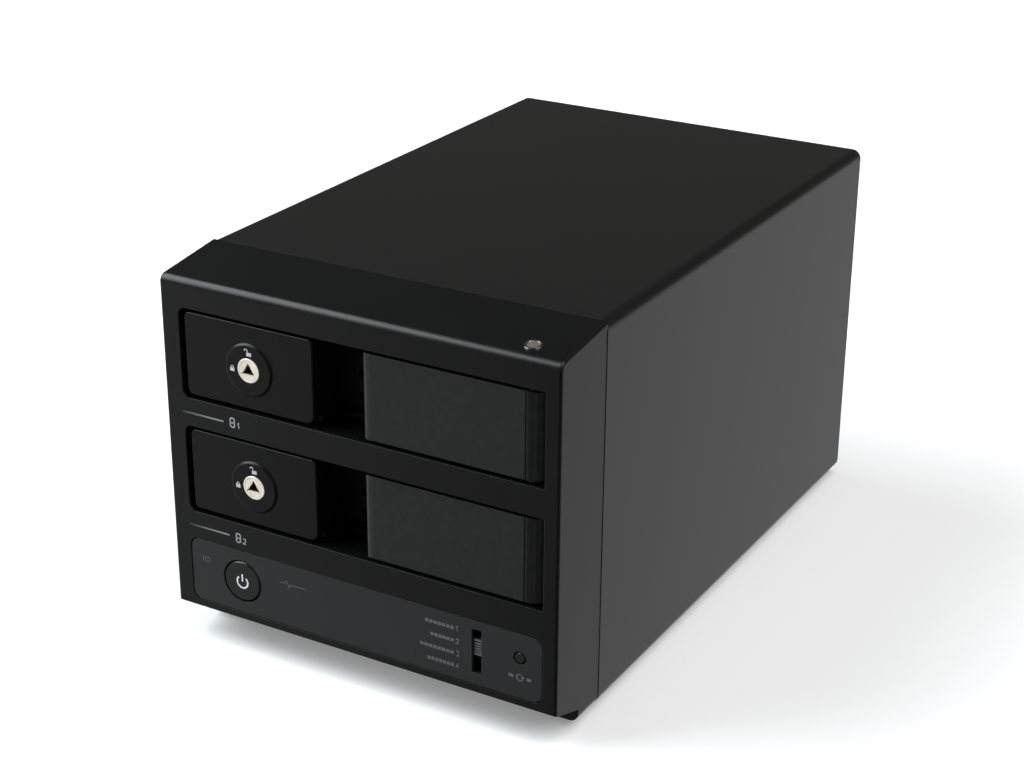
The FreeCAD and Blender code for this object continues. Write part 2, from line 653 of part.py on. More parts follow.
def opening(bay):
    """The bay's opening, rounded on the lock side."""
    left = SIZE["bay_shift"] - SIZE["bay_width"] / 2
    return plate_body(
        "OpeningBody",
        bay_wide(*about("0", "bay_width / 2")),
        deep("-past", "bezel_depth + past"),
        bay_tall(bay, *about("0", "bay_height / 2")),
        "bay_corner",
        lambda box: along_y(box) and abs(box.XMin - left) < TOUCH,
    )


def hinge_pin(bay):
    return rod("pin_radius", hinge_x(), deep("hinge_depth"),
               bay_tall(bay, *about("0", "bay_height / 2 + pin_bite")))


def bay_frame(bay):
    """Collar behind the opening, and the two bosses that hold the hinge pin."""
    collar = block(
        bay_wide(*about("0", "bay_width / 2 + collar_wall")),
        deep("skin - lap", "collar_depth"),
        bay_tall(bay, *about("0", "bay_height / 2 + collar_wall")),
    )
    bosses = block(
        bay_wide("bay_width / 2 - hinge_inset - boss_side", "bay_width / 2 + collar_wall + lap"),
        deep("skin - lap", "boss_depth"),
        bay_tall(bay, *about("0", "bay_height / 2 + boss_tall")),
    )
    return [collar, bosses]


def bay_cuts(bay):
    """Opening, hinge pin holes, the window that takes the lock bolt and the light bar's slot."""
    bolt_window = block(
        bay_wide("-bay_width / 2 - collar_wall - past", "past - bay_width / 2"),
        deep("bolt_front - bolt_play", "bolt_front + bolt_thick + bolt_play"),
        bay_tall(bay, *about("-lock_drop", "bolt_tall / 2 + bolt_play")),
    )
    return [opening(bay), hinge_pin(bay), bolt_window, light_bar(bay, trim_hole())]


def trim_hole():
    """Depth limits of a hole right through the bezel's front wall."""
    return deep("-past", "trim_back")


def strip_openings():
    """Holes for the two buttons and the selector, in the control strip and the wall behind it."""
    return [
        rod("power_radius + power_gap", "power_x", trim_hole(), tall("power_up")),
        rod("mode_radius + mode_gap", "mode_x", trim_hole(), tall("mode_up")),
        block(about("slot_x", "slot_width / 2"), trim_hole(), tall("slot_low", "slot_high")),
    ]


def make_bezel():
    """Front frame of the casing: two bay openings, hinge bosses and the control strip recess."""
    inside_x = about("0", "body_width / 2 - bezel_inset - side_skin")
    hollow = block(inside_x, deep("skin", "bezel_depth + past"), tall("hollow_low", "hollow_high"))
    heel = block(inside_x, deep("chin_depth + side_skin", "bezel_depth + past"),
                 tall("bezel_inset + side_skin", "hollow_low + past"))
    shell = cut(bezel_outside(), hollow, heel)
    margin = "cover_wall + tongue_play"
    inner_margin = f"{margin} + tongue_wall"
    tongue = cut(
        block(about("0", f"body_width / 2 - ({margin})"),
              deep("bezel_depth - lap", "bezel_depth + tongue"),
              tall(margin, f"body_height - ({margin})")),
        block(about("0", f"body_width / 2 - ({inner_margin})"),
              deep("bezel_depth - lap - past", "bezel_depth + tongue + past"),
              tall(inner_margin, f"body_height - ({inner_margin})")),
    )
    frames = [piece for bay in BAYS for piece in bay_frame(bay)]
    cuts = [piece for bay in BAYS for piece in bay_cuts(bay)]
    cuts += strip_openings()
    cuts.append(strip_plate("0", deep("-past", "panel_thick")))
    cuts.append(on_brow("ring_radius", "-ring_hole", "past"))
    node(cut(fuse(shell, tongue, *frames), *cuts), "front_bezel")


def light_bar(bay, y):
    level = "-bay_height / 2 - light_drop"
    return block(("light_from", "light_to"), y, bay_tall(bay, *about(level, "light_tall / 2")))


def strip_plate(gap, y):
    """Outline of the control strip, drawn in by a gap all round."""
    return plate_body(
        "StripBody",
        about("panel_shift", f"panel_width / 2 - {gap}"),
        y,
        tall(*about("panel_middle", f"panel_height / 2 - {gap}")),
        "panel_round",
        along_y,
    )


def on_brow(radius, low, high):
    """A round bar square to the sloping top at the indicator, between levels from its surface."""
    slope = math.atan((SIZE["brow_drop"] - SIZE["bezel_inset"]) / SIZE["bezel_depth"])
    bar = doc.addObject("Part::Cylinder", "BrowRod")
    bind(bar, "Radius", radius)
    bind(bar, "Height", f"({high}) - ({low})")
    bar.Placement = FreeCAD.Placement(V(), FreeCAD.Rotation(V(1, 0, 0), math.degrees(slope)))
    surface = "body_height - brow_drop + lens_back * (brow_drop - bezel_inset) / bezel_depth"
    bind(bar, "Placement.Base.x", "lens_x")
    bind(bar, "Placement.Base.y", deep(f"lens_back - ({low}) * {math.sin(slope)}"))
    bind(bar, "Placement.Base.z", tall(f"{surface} + ({low}) * {math.cos(slope)}"))
    return bar


def make_indicator():
    """Chrome ring with a clear lens, set square to the sloping top."""
    bore = on_brow("lens_radius", "-ring_sink - past", "past")
    node(cut(on_brow("ring_radius", "-ring_sink", "ring_proud"), bore), "indicator_ring")
    node(on_brow("lens_radius", "-ring_sink", "lens_proud"), "indicator_lens")


def make_feet():
    feet = []
    for side in (-1, 1):
        for mark in ("foot_front", "foot_back"):
            feet.append(rod("foot_radius - foot_taper", f"{side} * (body_width / 2 - foot_inset)",
                            deep(mark), ("0", "foot_height"), top="foot_radius"))
    node(group(*feet), "feet")


# ---- control strip ---------------------------------------------------------------------------

def make_strip():
    plate = strip_plate("panel_gap", deep("panel_face", "panel_thick"))
    node(cut(plate, *strip_openings()), "control_panel")
    node(group(*(light_bar(bay, deep("light_face", "trim_back")) for bay in BAYS)), "light_bars")
    node(block(("front_board_left", "front_board_right"), deep("front_board_y", "front_board_y + board"),
               tall("front_board_low", "front_board_high")), "front_board")


def make_button(name):
    """Push button with a flange behind the wall and a stem that sits in its switch."""
    x, up, radius, stem = f"{name}_x", f"{name}_up", f"{name}_radius", f"{name}_stem"
    face, bevel = f"{name}_face", f"{name}_bevel"
    flange_front = "skin + flange_gap"
    flange_back = f"{flange_front} + flange_thick"
    cap = turned_body("ButtonBody", x, tall(up), (
        (face, "0"), (face, f"{radius} - {bevel}"), (f"{face} + {bevel}", radius),
        (flange_front, radius), (flange_front, f"{radius} + flange_reach"),
        (flange_back, f"{radius} + flange_reach"), (flange_back, stem),
        ("stem_back", stem), ("stem_back", "0"),
    ))
    node(cap, f"{name}_button")
    half = f"{name}_switch_half"
    body = block(about(x, half), deep("switch_front", "front_board_y"), tall(*about(up, half)))
    hole = rod(f"{stem} + stem_play", x, deep("switch_front - past", "switch_hole"), tall(up))
    node(cut(body, hole), f"{name}_switch")


def make_selector():
    """Ribbed knob whose lever reaches into the four-way selector switch."""
    thumb = block(about("slot_x", "knob_width / 2"), deep("knob_front", "knob_back"),
                  tall(*about("knob_up", "knob_tall / 2")))
    lever = block(about("slot_x", "lever_half"), deep("knob_back - lap", "lever_back"),
                  tall(*about("knob_up", "lever_rise")))
    grooves = [
        block(about("slot_x", "knob_width"), deep("knob_front - past", "knob_front + knob_groove_depth"),
              tall(*about(f"knob_up + {step} * knob_tall / {len(GRIP_GROOVES) + 1}", "knob_groove")))
        for step in GRIP_GROOVES
    ]
    node(cut(fuse(thumb, lever), *grooves), "mode_knob")
    body = block(about("slot_x", "selector_half"), deep("selector_front", "front_board_y"),
                 tall("selector_low", "selector_high"))
    way = block(about("slot_x", "lever_way_half"), deep("selector_front - past", "lever_way_back"),
                tall("knob_up - lever_way_down", "knob_up + lever_way_up"))
    node(cut(body, way), "mode_selector")


# ---- doors -----------------------------------------------------------------------------------

def gap_corner(bay, level, radius, up):
    """Cutter that rounds one corner of the lock panel beside the finger gap."""
    inward = f"{level} - {up} * {radius}"
    edge_z = (inward, f"{level} + past") if up > 0 else (f"{level} - past", inward)
    corner = block(bay_wide(f"-finger_left - {radius}", "past - finger_left"),
                   deep("-past", "gap_corner_depth"), bay_tall(bay, *edge_z))
    keep = rod(radius, bay_wide(f"-finger_left - {radius}"), deep("-2 * past", "gap_corner_depth + past"),
               bay_tall(bay, inward))
    return cut(corner, keep)


def door_cuts(bay):
    """Hollows behind the door, the finger gap, the lock's seat and the bolt's exit."""
    behind = deep("door_inset + door_wall", "door_back + past")
    inner = bay_tall(bay, "door_rim - door_low", "door_high - door_rim")
    full = bay_tall(bay, *about("0", "bay_height / 2"))
    axis_z = bay_tall(bay, "-lock_drop")
    hook = "finger_right + finger_hook"
    return [
        block(bay_wide("door_rim - door_left", "-finger_left - door_rim"), behind, inner),
        block(bay_wide("-finger_left", hook), behind, inner),
        block((bay_wide(f"{hook} + door_rim"), hinge_x("-handle_solid")), behind, inner),
        block(bay_wide("-finger_left", "finger_right"), deep("-past", "finger_rim"), full),
        gap_corner(bay, "door_high", "gap_corner_top", 1),
        gap_corner(bay, "-door_low", "gap_corner_low", -1),
        block((hinge_x("-barrel_radius"), hinge_x("past")), deep("swing_room", "door_back + past"), full),
        block(bay_wide("-door_left - past", "2 * door_rim - door_left"),
              deep("bolt_front - bolt_play", "door_back + past"),
              bay_tall(bay, *about("-lock_drop", "bolt_tall / 2 + bolt_play"))),
        rod("lock_radius", "lock_x", deep("-past", "lock_back"), axis_z),
    ]


def make_door(bay):
    """Moulded door with a lock panel, a finger gap and a handle panel, hinged on the right."""
    left = SIZE["bay_shift"] - SIZE["door_left"]
    high = bay_tall(bay, "-door_low", "door_high")
    whole = plate_body("DoorBody", (bay_wide("-door_left"), hinge_x()), deep("door_inset", "door_back"),
                       high, "door_corner", lambda box: along_y(box) and abs(box.XMin - left) < TOUCH)
    disc = rod("disc_top", "lock_x", deep("door_inset - disc_height", "door_inset + lap"),
               bay_tall(bay, "-lock_drop"), top="disc_foot")
    barrel = rod("barrel_radius", hinge_x(), deep("barrel_depth"), high)
    full = bay_tall(bay, *about("0", "bay_height / 2"))
    pin_way = rod("pin_radius + pin_play", hinge_x(), deep("hinge_depth"), full)
    line = block(about(hinge_x("-handle_line"), "handle_line_width / 2"),
                 deep("-past", "door_inset + handle_line_depth"), full)
    bare = cut(fuse(whole, disc), *door_cuts(bay))
    panel = cut(fuse(bare, barrel), pin_way, line)
    face = SIZE["door_inset"] - SIZE["body_depth"] / 2
    handle_left = SIZE["bay_shift"] + SIZE["finger_right"]

    def lock_panel_edge(box):
        return along_z(box) and abs(box.YMin - face) < TOUCH and box.XMin < handle_left - APART

    def handle_edge(box):
        return along_z(box) and abs(box.YMin - face) < TOUCH and abs(box.XMin - handle_left) < TOUCH

    soft = rounded(panel, "door_edge", lock_panel_edge)
    node(rounded(soft, "handle_edge", handle_edge), f"door_panel_{bay}")
    plate = block((bay_wide("liner_margin - door_left"), hinge_x("-liner_end")),
                  deep("door_back", "door_back + liner"),
                  bay_tall(bay, "liner_margin - door_low", "door_high - liner_margin"))
    through = deep("door_back - past", "door_back + liner + past")
    vents = []
    for row in (-1, 0, 1):
        level = f"{row} * vent_pitch"
        vents.append(rod("vent_half", bay_wide("vent_left"), through, bay_tall(bay, level)))
        vents.append(block(bay_wide("vent_left", "finger_right + vent_reach"), through,
                           bay_tall(bay, *about(level, "vent_half"))))
    node(cut(plate, *vents), f"door_liner_{bay}")


def make_lock(bay):
    """Lock barrel fixed in the door, turning plug with a crank, and the bolt that it slides."""
    axis_z = bay_tall(bay, "-lock_drop")
    face = "door_inset - disc_height - lock_proud"
    wall = "door_inset + door_wall"
    bore = "plug_radius + pin_play"
    barrel = turned_body("LockBody", "lock_x", axis_z, (
        (face, bore), (face, "lock_radius - lock_bevel"), (f"{face} + lock_bevel", "lock_radius"),
        (wall, "lock_radius"), (wall, "lock_radius + lock_flange"),
        ("lock_back", "lock_radius + lock_flange"), ("lock_back", bore),
    ))
    node(barrel, f"lock_barrel_{bay}")
    plug = rod("plug_radius", "lock_x", deep(f"{face} + lap", "plug_back"), axis_z)
    crank = fuse(
        rod("crank_arm + crank_radius + crank_rim", "lock_x",
            deep("plug_back - lap", "plug_back + crank_thick"), axis_z),
        rod("crank_radius", "lock_x", deep("plug_back", "bolt_front + bolt_thick + crank_proud"),
            bay_tall(bay, "crank_arm - lock_drop")),
    )
    node(cut(fuse(plug, crank), keyhole(bay, face)), f"lock_plug_{bay}")
    thick = deep("bolt_front", "bolt_front + bolt_thick")
    tip = block(bay_wide("bolt_home - door_left", "bolt_reach - door_left"), thick,
                bay_tall(bay, *about("-lock_drop", "bolt_tall / 2")))
    yoke = block(("lock_x - yoke_left", "lock_x + yoke_right"), thick,
                 bay_tall(bay, "-lock_drop - yoke_low", "yoke_high - lock_drop"))
    way = block(("lock_x - crank_radius - way_ahead", "lock_x + crank_radius + way_behind"),
                deep("bolt_front - past", "bolt_front + bolt_thick + past"),
                bay_tall(bay, "-lock_drop - way_low", "way_high - lock_drop"))
    node(cut(fuse(tip, yoke), way), f"lock_bolt_{bay}")


def keyhole(bay, face):
    """Three-sided key socket with a narrow guide notch at its lower left corner."""
    body = doc.addObject("PartDesign::Body", "KeyBody")
    drawing = sketch(body, "XZ_Plane", z=f"-({deep(f'{face} - past')})")
    axis_z = bay_tall(bay, "-lock_drop")
    outline(drawing, (
        ("lock_x - key_half", f"{axis_z} - key_low"),
        ("lock_x + key_half", f"{axis_z} - key_low"),
        ("lock_x", f"{axis_z} + key_high"),
    ))
    pad(body, drawing, "key_depth + past", towards_back=True)
    notch = block(about("lock_x - key_half", "key_notch"),
                  deep(f"{face} - past", f"{face} + key_notch_depth"),
                  about(f"{axis_z} - key_low", "key_notch / 2"))
    return fuse(body, notch)


# ---- drives, ejectors and cage ---------------------------------------------------------------

def drive_deep(*marks):
    """Y coordinates of marks measured back from the rear face of a drive."""
    return deep(*(f"{mark} + drive_front + drive_length" for mark in marks))


def drive_tall(bay, *marks):
    """Z coordinates of marks measured up from the underside of a drive."""
    return bay_tall(bay, *(f"{mark} - drive_height / 2" for mark in marks))


def make_drive(bay):
    """3.5 inch drive: cast case with a disc well, lid, and circuit board with its plug."""
    width = bay_wide(*about("0", "drive_width / 2"))
    length = deep("drive_front", "drive_front + drive_length")
    well = rod("well_radius", bay_wide("0"), deep("drive_front + well_back"),
               drive_tall(bay, "well_floor", "drive_height + past"))
    pocket = block(bay_wide("plug_left - plug_margin", "plug_right + plug_margin"),
                   drive_deep("-plug_pocket", "past"), drive_tall(bay, "-past", "plug_room"))
    case = block(width, length, drive_tall(bay, "drive_base", "drive_height - lid_thick"))
    node(cut(case, well, pocket), f"drive_case_{bay}")
    node(drive_lid(bay), f"drive_lid_{bay}")
    board = block(bay_wide(*about("0", "drive_board_half")),
                  (deep("drive_front + drive_board_front"), drive_deep("-drive_board_end")),
                  drive_tall(bay, "drive_board_low", "drive_base"))
    blade = block(bay_wide("plug_left + blade_inset", "plug_right - blade_inset"),
                  drive_deep("-blade_root", "-blade_end"), drive_tall(bay, "blade_low", "blade_high"))
    relief = block(bay_wide("plug_left", "plug_right"), drive_deep("-blade_root", "-plug_pocket"),
                   drive_tall(bay, "drive_base", "blade_high + past"))
    node(cut(fuse(board, blade), relief), f"drive_board_{bay}")


def drive_lid(bay):
    body = doc.addObject("PartDesign::Body", "LidBody")
    drawing = sketch(body, "XY_Plane", z=drive_tall(bay, "drive_height - lid_thick"))
    rectangle(drawing, bay_wide(*about("0", "drive_width / 2 - lid_margin")),
              deep("drive_front + lid_margin", "drive_front + drive_length - lid_margin"))
    solid = pad(body, drawing, "lid_thick")
    round_feature(body, solid, "corner_round", along_z)
    return body


def make_ejector(bay):
    """Steel bar beside the drive with a hook behind its rear corner."""
    hook_y = drive_deep("bar_play", "bar_play + hook_thick")
    height = bay_tall(bay, *about("0", "bar_half"))
    outer = bay_wide("cage_half - bar_outer")
    bar = block((bay_wide("cage_half - bar_outer - bar_thick"), outer), (deep("bar_front"), hook_y[1]),
                height)
    hook = block((bay_wide("drive_width / 2 - hook_reach"), outer), hook_y, height)
    node(fuse(bar, hook), f"ejector_bar_{bay}")


def rail(bay, side):
    """L-shaped plastic rail that carries one edge of a drive."""
    run = deep("cage_front", "rail_back")
    wall_x = ["drive_width / 2 + slide_gap", "cage_half"]
    ledge_x = ["drive_width / 2 - hook_reach", "drive_width / 2 + slide_gap + past"]
    if side < 0:
        wall_x = [f"-({mark})" for mark in reversed(wall_x)]
        ledge_x = [f"-({mark})" for mark in reversed(ledge_x)]
    wall = block(bay_wide(*wall_x), run, bay_tall(bay, "-shelf_drop", "rail_high"))
    ledge = block(bay_wide(*ledge_x), run,
                  bay_tall(bay, "-shelf_drop", "-drive_height / 2 - rail_play"))
    return fuse(wall, ledge)


def ejector_groove(bay):
    """Way of the ejector bar in the right-hand rail."""
    return block(bay_wide("cage_half - bar_outer - bar_thick - bar_play", "cage_half + past"),
                 deep("cage_front - past", "rail_back + past"),
                 bay_tall(bay, *about("0", "bar_half + bar_play")))


def cage_side(side, name):
    """Side wall of the cage with air windows and a flange that takes the rear panel's screws."""
    rear = "body_depth - plate_back - plate"
    wall_x = ["cage_half", "cage_half + cage_sheet"]
    flap_x = ["cage_half - flap", "cage_half"]
    if side < 0:
        wall_x = [f"-({mark})" for mark in reversed(wall_x)]
        flap_x = [f"-({mark})" for mark in reversed(flap_x)]
    wall = block(bay_wide(*wall_x), deep("cage_front", rear), tall("tray_floor + cage_sheet", "cage_top"))
    flap = block(bay_wide(*flap_x), deep(f"{rear} - cage_sheet", rear), tall("flap_low", "cage_top"))
    windows = [
        block(bay_wide(f"{wall_x[0]} - past", f"{wall_x[1]} + past"), deep(*window),
              tall("cage_window_low", "cage_window_high"))
        for window in CAGE_WINDOWS
    ]
    holes = [
        rod("rear_screw", screw_x, deep(f"{rear} - cage_sheet - past", f"{rear} + past"), tall(level))
        for screw_x, level in rear_screw_places(side)
    ]
    node(cut(fuse(wall, flap), *windows, *holes), name)


def make_cage():
    """Sheet steel cage: two sides with rear flanges, three shelves, and the rails on them."""
    cage_side(-1, "cage_left")
    cage_side(1, "cage_right")
    shelves = (("shelf_upper", "cage_top"),
               ("shelf_middle", f"{middle(1)} - shelf_drop"),
               ("shelf_lower", f"{middle(2)} - shelf_drop"))
    for name, top in shelves:
        bottom = f"{top} - cage_sheet"
        sheet = block(bay_wide(*about("0", "cage_half")), deep("cage_front", "shelf_back"),
                      tall(bottom, top))
        holes = [block(bay_wide(*about("0", "shelf_window")), deep(*window),
                       tall(f"{bottom} - past", f"{top} + past"))
                 for window in SHELF_WINDOWS]
        node(cut(sheet, *holes), name)
    node(group(*(rail(bay, -1) for bay in BAYS)), "left_rails")
    node(group(*(cut(rail(bay, 1), ejector_groove(bay)) for bay in BAYS)), "right_rails")


def make_tray():
    """Base tray that carries the main board on brass standoffs."""
    half = "body_width / 2 - cover_wall - tray_gap"
    run = deep("bezel_depth + tongue + tray_gap", "body_depth - plate_back - plate")
    floor = block(about("0", half), run, tall("tray_floor", "tray_floor + cage_sheet"))
    lip_z = tall("tray_floor", "tray_lip")
    left_lip = block((f"-({half})", f"cage_sheet - ({half})"), run, lip_z)
    right_lip = block((f"{half} - cage_sheet", half), run, lip_z)
    node(fuse(floor, left_lip, right_lip), "base_tray")
    posts = [rod("standoff_radius", x, deep(y), tall("tray_floor + cage_sheet", "main_up"))
             for x, y in STANDOFFS]
    node(group(*posts), "board_standoffs")


# ---- boards ----------------------------------------------------------------------------------

def on_board(x, y, height):
    """A block that stands on the main board."""
    return block(x, deep(*y), tall("main_up + board", f"main_up + board + {height}"))


def make_main_board():
    """Main board with its header, chips, capacitors and heat sink."""
    node(block(("main_left", "main_right"), deep("main_front", "main_back"),
               tall("main_up", "main_up + board")), "main_board")
    node(on_board(about("0", "header_half"), ("front_board_y + board", "header_back"), "header_tall"),
         "front_header")
    chips = [on_board((x, x + width), (y, y + length), "chip_tall") for x, y, width, length in CHIPS]
    node(group(*chips), "board_chips")
    cans = [rod("can_radius", x, deep(y), tall("main_up + board", "main_up + board + can_tall"))
            for x, y in CAPACITORS]
    node(group(*cans), "board_capacitors")
    sink_y = ("sink_front", "sink_back")
    base = on_board(about("0", "sink_half"), sink_y, "sink_base")
    fins = [on_board(about(x, "fin_half"), sink_y, "sink_tall") for x in FINS]
    node(fuse(base, *fins), "heat_sink")


def make_backplane():
    """Upright backplane, its slot connector on the main board and the two drive sockets."""
    backplane_z = tall("backplane_low", "backplane_high")
    backplane_deep = deep("backplane_y", "backplane_y + board")
    node(block(about("0", "backplane_half"), backplane_deep, backplane_z), "backplane")
    slot = on_board(about("0", "slot_half"), ("backplane_y - slot_lips", "backplane_y + board + slot_lips"),
                    "slot_tall")
    way = block(about("0", "backplane_half + slot_play"), backplane_deep, backplane_z)
    node(cut(slot, way), "backplane_slot")
    sockets = []
    for bay in BAYS:
        body = block(bay_wide("plug_left", "plug_right"), (drive_deep("-socket_front"), deep("backplane_y")),
                     drive_tall(bay, "socket_low", "socket_low + socket_tall"))
        blade_way = block(bay_wide("plug_left + socket_way_inset", "plug_right - socket_way_inset"),
                          drive_deep("-socket_front - past", "-past"),
                          drive_tall(bay, "socket_way_low", "socket_way_high"))
        sockets.append(cut(body, blade_way))
    node(group(*sockets), "drive_sockets")


def port_limits(name, grow):
    """Width and height limits of a port, enlarged all round by a margin."""
    x, width, height = PORTS[name]
    return about(x, f"{width / 2} + {grow}"), tall(
        f"main_up + board - {grow}", f"main_up + board + {height} + {grow}")


def port_shell(name):
    wide, high = port_limits(name, "0")
    return block(wide, deep("main_back - port_length", "body_depth - plate_back"), high)


def port_space(name, limits, y):
    """Space inside a port: half width, then heights above the board."""
    half, low, high = limits
    return block(about(PORTS[name][0], half), y, tall(f"main_up + board + {low}", f"main_up + board + {high}"))


def data_port(name):
    """Data or expansion socket: ways into its shell and the contact tongue that stands in them."""
    ways, tongue = PORT_MOUTHS[name]
    cuts = [port_space(name, way, deep("port_floor", "body_depth")) for way in ways]
    inner = port_space(name, tongue, deep("port_floor - past", "port_tongue_end"))
    return fuse(cut(port_shell(name), *cuts), inner)


def make_ports():
    """Data, expansion and power sockets whose mouths are flush with the rear panel."""
    for name in PORT_MOUTHS:
        node(data_port(name), name)
    inlet_x = PORTS["power_inlet"][0]
    axis_z = tall("main_up + board + jack_up")
    inlet = cut(port_shell("power_inlet"),
                rod("jack_radius", inlet_x, deep("port_floor", "body_depth"), axis_z))
    pin = rod("jack_pin", inlet_x, deep("port_floor - past", "port_tongue_end"), axis_z)
    node(fuse(inlet, pin), "power_inlet")


# ---- rear panel and fan ----------------------------------------------------------------------

def rear_screw_places(side):
    return [(bay_wide(f"{side} * (cage_half - rear_screw_inset)"), level) for level in REAR_SCREWS]


def fan_screw_places():
    return [(f"{side} * fan_holes / 2", f"fan_up + {rise} * fan_holes / 2")
            for side in (-1, 1) for rise in (-1, 1)]


def grille_holes(through):
    """A middle hole with rings of holes round it."""
    holes = [rod("grille_hole", "0", through, tall("fan_up"))]
    for ring, count in GRILLE:
        for step in range(count):
            angle = 360 * step / count
            x = f"{ring} * grille_pitch * cos({angle})"
            rise = f"{ring} * grille_pitch * sin({angle})"
            holes.append(rod("grille_hole", x, through, tall(f"fan_up + {rise}")))
    return holes


def make_rear_panel():
    """Sheet steel rear panel: fan grille, port cut-outs, vents and a security slot."""
    front = "body_depth - plate_back - plate"
    margin = "cover_wall + plate_play"
    sheet = plate_body("PanelBody", about("0", f"body_width / 2 - ({margin})"),
                       deep(front, "body_depth - plate_back"),
                       tall(margin, f"body_height - ({margin})"), "panel_thick", along_y)
    through = deep(f"{front} - past", "body_depth")
    cuts = grille_holes(through)
    for name in PORTS:
        wide, high = port_limits(name, "port_play")
        cuts.append(block(wide, through, high))
    for step in range(SIDE_VENTS):
        for side in (-1, 1):
            cuts.append(block(about(f"{side} * vent_x", "vent_slot_half"), through,
                              tall(*about(f"vent_first + {step} * vent_step", "vent_slot_rise"))))
    cuts.append(block(("security_left", "security_right"), through, tall("security_low", "security_high")))
    rear_places = rear_screw_places(-1) + rear_screw_places(1)
    cuts += [rod("rear_screw", x, through, tall(level)) for x, level in rear_places]
    cuts += [rod("fan_screw + screw_play", x, through, tall(level)) for x, level in fan_screw_places()]
    node(cut(sheet, *cuts), "rear_panel")
    y_head = deep("body_depth - plate_back")
    node(group(*(screw(x, y_head, tall(level), "rear_screw", "rear_screw_length")
                 for x, level in rear_places)), "rear_screws")
    node(group(*(screw(x, y_head, tall(level), "fan_screw", "fan_screw_length")
                 for x, level in fan_screw_places())), "fan_screws")


def fan_deep_limits(*marks):
    """Y coordinates of marks measured forward from the inner face of the rear panel."""
    return deep(*(f"body_depth - plate_back - plate - ({mark})" for mark in marks))


def make_fan():
    """Axial fan: square frame with a strutted motor seat, and a bladed wheel on its shaft."""
    half = "fan_size / 2"
    through = fan_deep_limits("fan_deep + past", "-past")
    frame = block(about("0", half), fan_deep_limits("fan_deep", "0"), tall(*about("fan_up", half)))
    duct = rod("fan_bore", "0", through, tall("fan_up"))
    seat_y = fan_deep_limits("seat_front", "seat_back")
    seat = rod("seat_radius", "0", seat_y, tall("fan_up"))
    upright = block(about("0", "strut_half"), seat_y, tall(*about("fan_up", "strut_reach")))
    level = block(about("0", "strut_reach"), seat_y, tall(*about("fan_up", "strut_half")))
    shaft_way = rod("shaft_radius + pin_play", "0", fan_deep_limits("shaft_front", "0"), tall("fan_up"))
    holes = [rod("fan_screw", x, through, tall(up)) for x, up in fan_screw_places()]
    node(cut(fuse(cut(frame, duct), seat, upright, level), shaft_way, *holes), "fan_frame")
    hub = rod("hub_radius", "0", fan_deep_limits("hub_front", "hub_back"), tall("fan_up"))
    shaft = rod("shaft_radius", "0", fan_deep_limits("shaft_front", "shaft_end"), tall("fan_up"))
    swept = cut(
        rod("blade_tip", "0", fan_deep_limits("blade_front", "blade_back"), tall("fan_up")),
        rod("hub_radius - hub_wall", "0", fan_deep_limits("blade_front + past", "blade_back - past"),
            tall("fan_up")),
    )
    trimmed = doc.addObject("Part::Common", "Blades")
    trimmed.Base = swept
    trimmed.Tool = fuse(*(fan_blade(step) for step in range(BLADES)))
    node(fuse(hub, shaft, trimmed), "fan_rotor")


def fan_blade(step):
    """One pitched blade, standing out from the fan axis at its place in the ring."""
    blade = doc.addObject("Part::Box", "Blade")
    bind(blade, "Length", "blade_thick")
    bind(blade, "Width", "blade_chord")
    bind(blade, "Height", "blade_tip + past")
    spin = FreeCAD.Rotation(V(0, 1, 0), 360 * step / BLADES)
    pitch = FreeCAD.Rotation(V(0, 0, 1), SIZE["blade_pitch"])
    turn = spin.multiply(pitch)
    shift = turn.multVec(V(-SIZE["blade_thick"] / 2, -SIZE["blade_chord"] / 2, 0))
    blade.Placement = FreeCAD.Placement(V(), turn)
    bind(blade, "Placement.Base.x", f"{shift.x:.4f}")
    bind(blade, "Placement.Base.y", fan_deep_limits(f"(blade_front + blade_back) / 2 - ({shift.y:.4f})"))
    bind(blade, "Placement.Base.z", tall(f"fan_up + {shift.z:.4f}"))
    return blade


# ---- the whole enclosure ---------------------------------------------------------------------

def check():
    """Stop on any failed feature and on any sub-part that is empty or not valid."""
    doc.recompute()
    failed = [item.Name for item in doc.Objects if {"Invalid", "Error"} & set(item.State)]
    wrong = [item.Label for item in NODES if item.Shape.isNull() or not item.Shape.isValid()]
    if failed or wrong:
        raise SystemExit(f"failed features {failed}, wrong sub-parts {wrong}")


def write():
    os.makedirs("parts", exist_ok=True)
    for item in NODES:
        item.Shape.exportStep(f"parts/{item.Label}.step")
        print(f"{item.Label}: {item.Shape.Volume / 1000:.2f} cm3, {len(item.Shape.Solids)} solids")
    print(len(NODES), "sub-parts")


make_cover()
make_bezel()
make_indicator()
make_feet()
make_strip()
make_button("power")
make_button("mode")
make_selector()
for number in BAYS:
    make_door(number)
    make_lock(number)
    make_drive(number)
    make_ejector(number)
node(group(*(hinge_pin(bay) for bay in BAYS)), "hinge_pins")
make_cage()
make_tray()
make_main_board()
make_backplane()
make_ports()
make_rear_panel()
make_fan()
check()
write()
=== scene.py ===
"""Looks of a two-bay storage enclosure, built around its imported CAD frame. Lengths are in metres."""
import json
import math

import bmesh
import bpy
from mathutils import Matrix, Vector


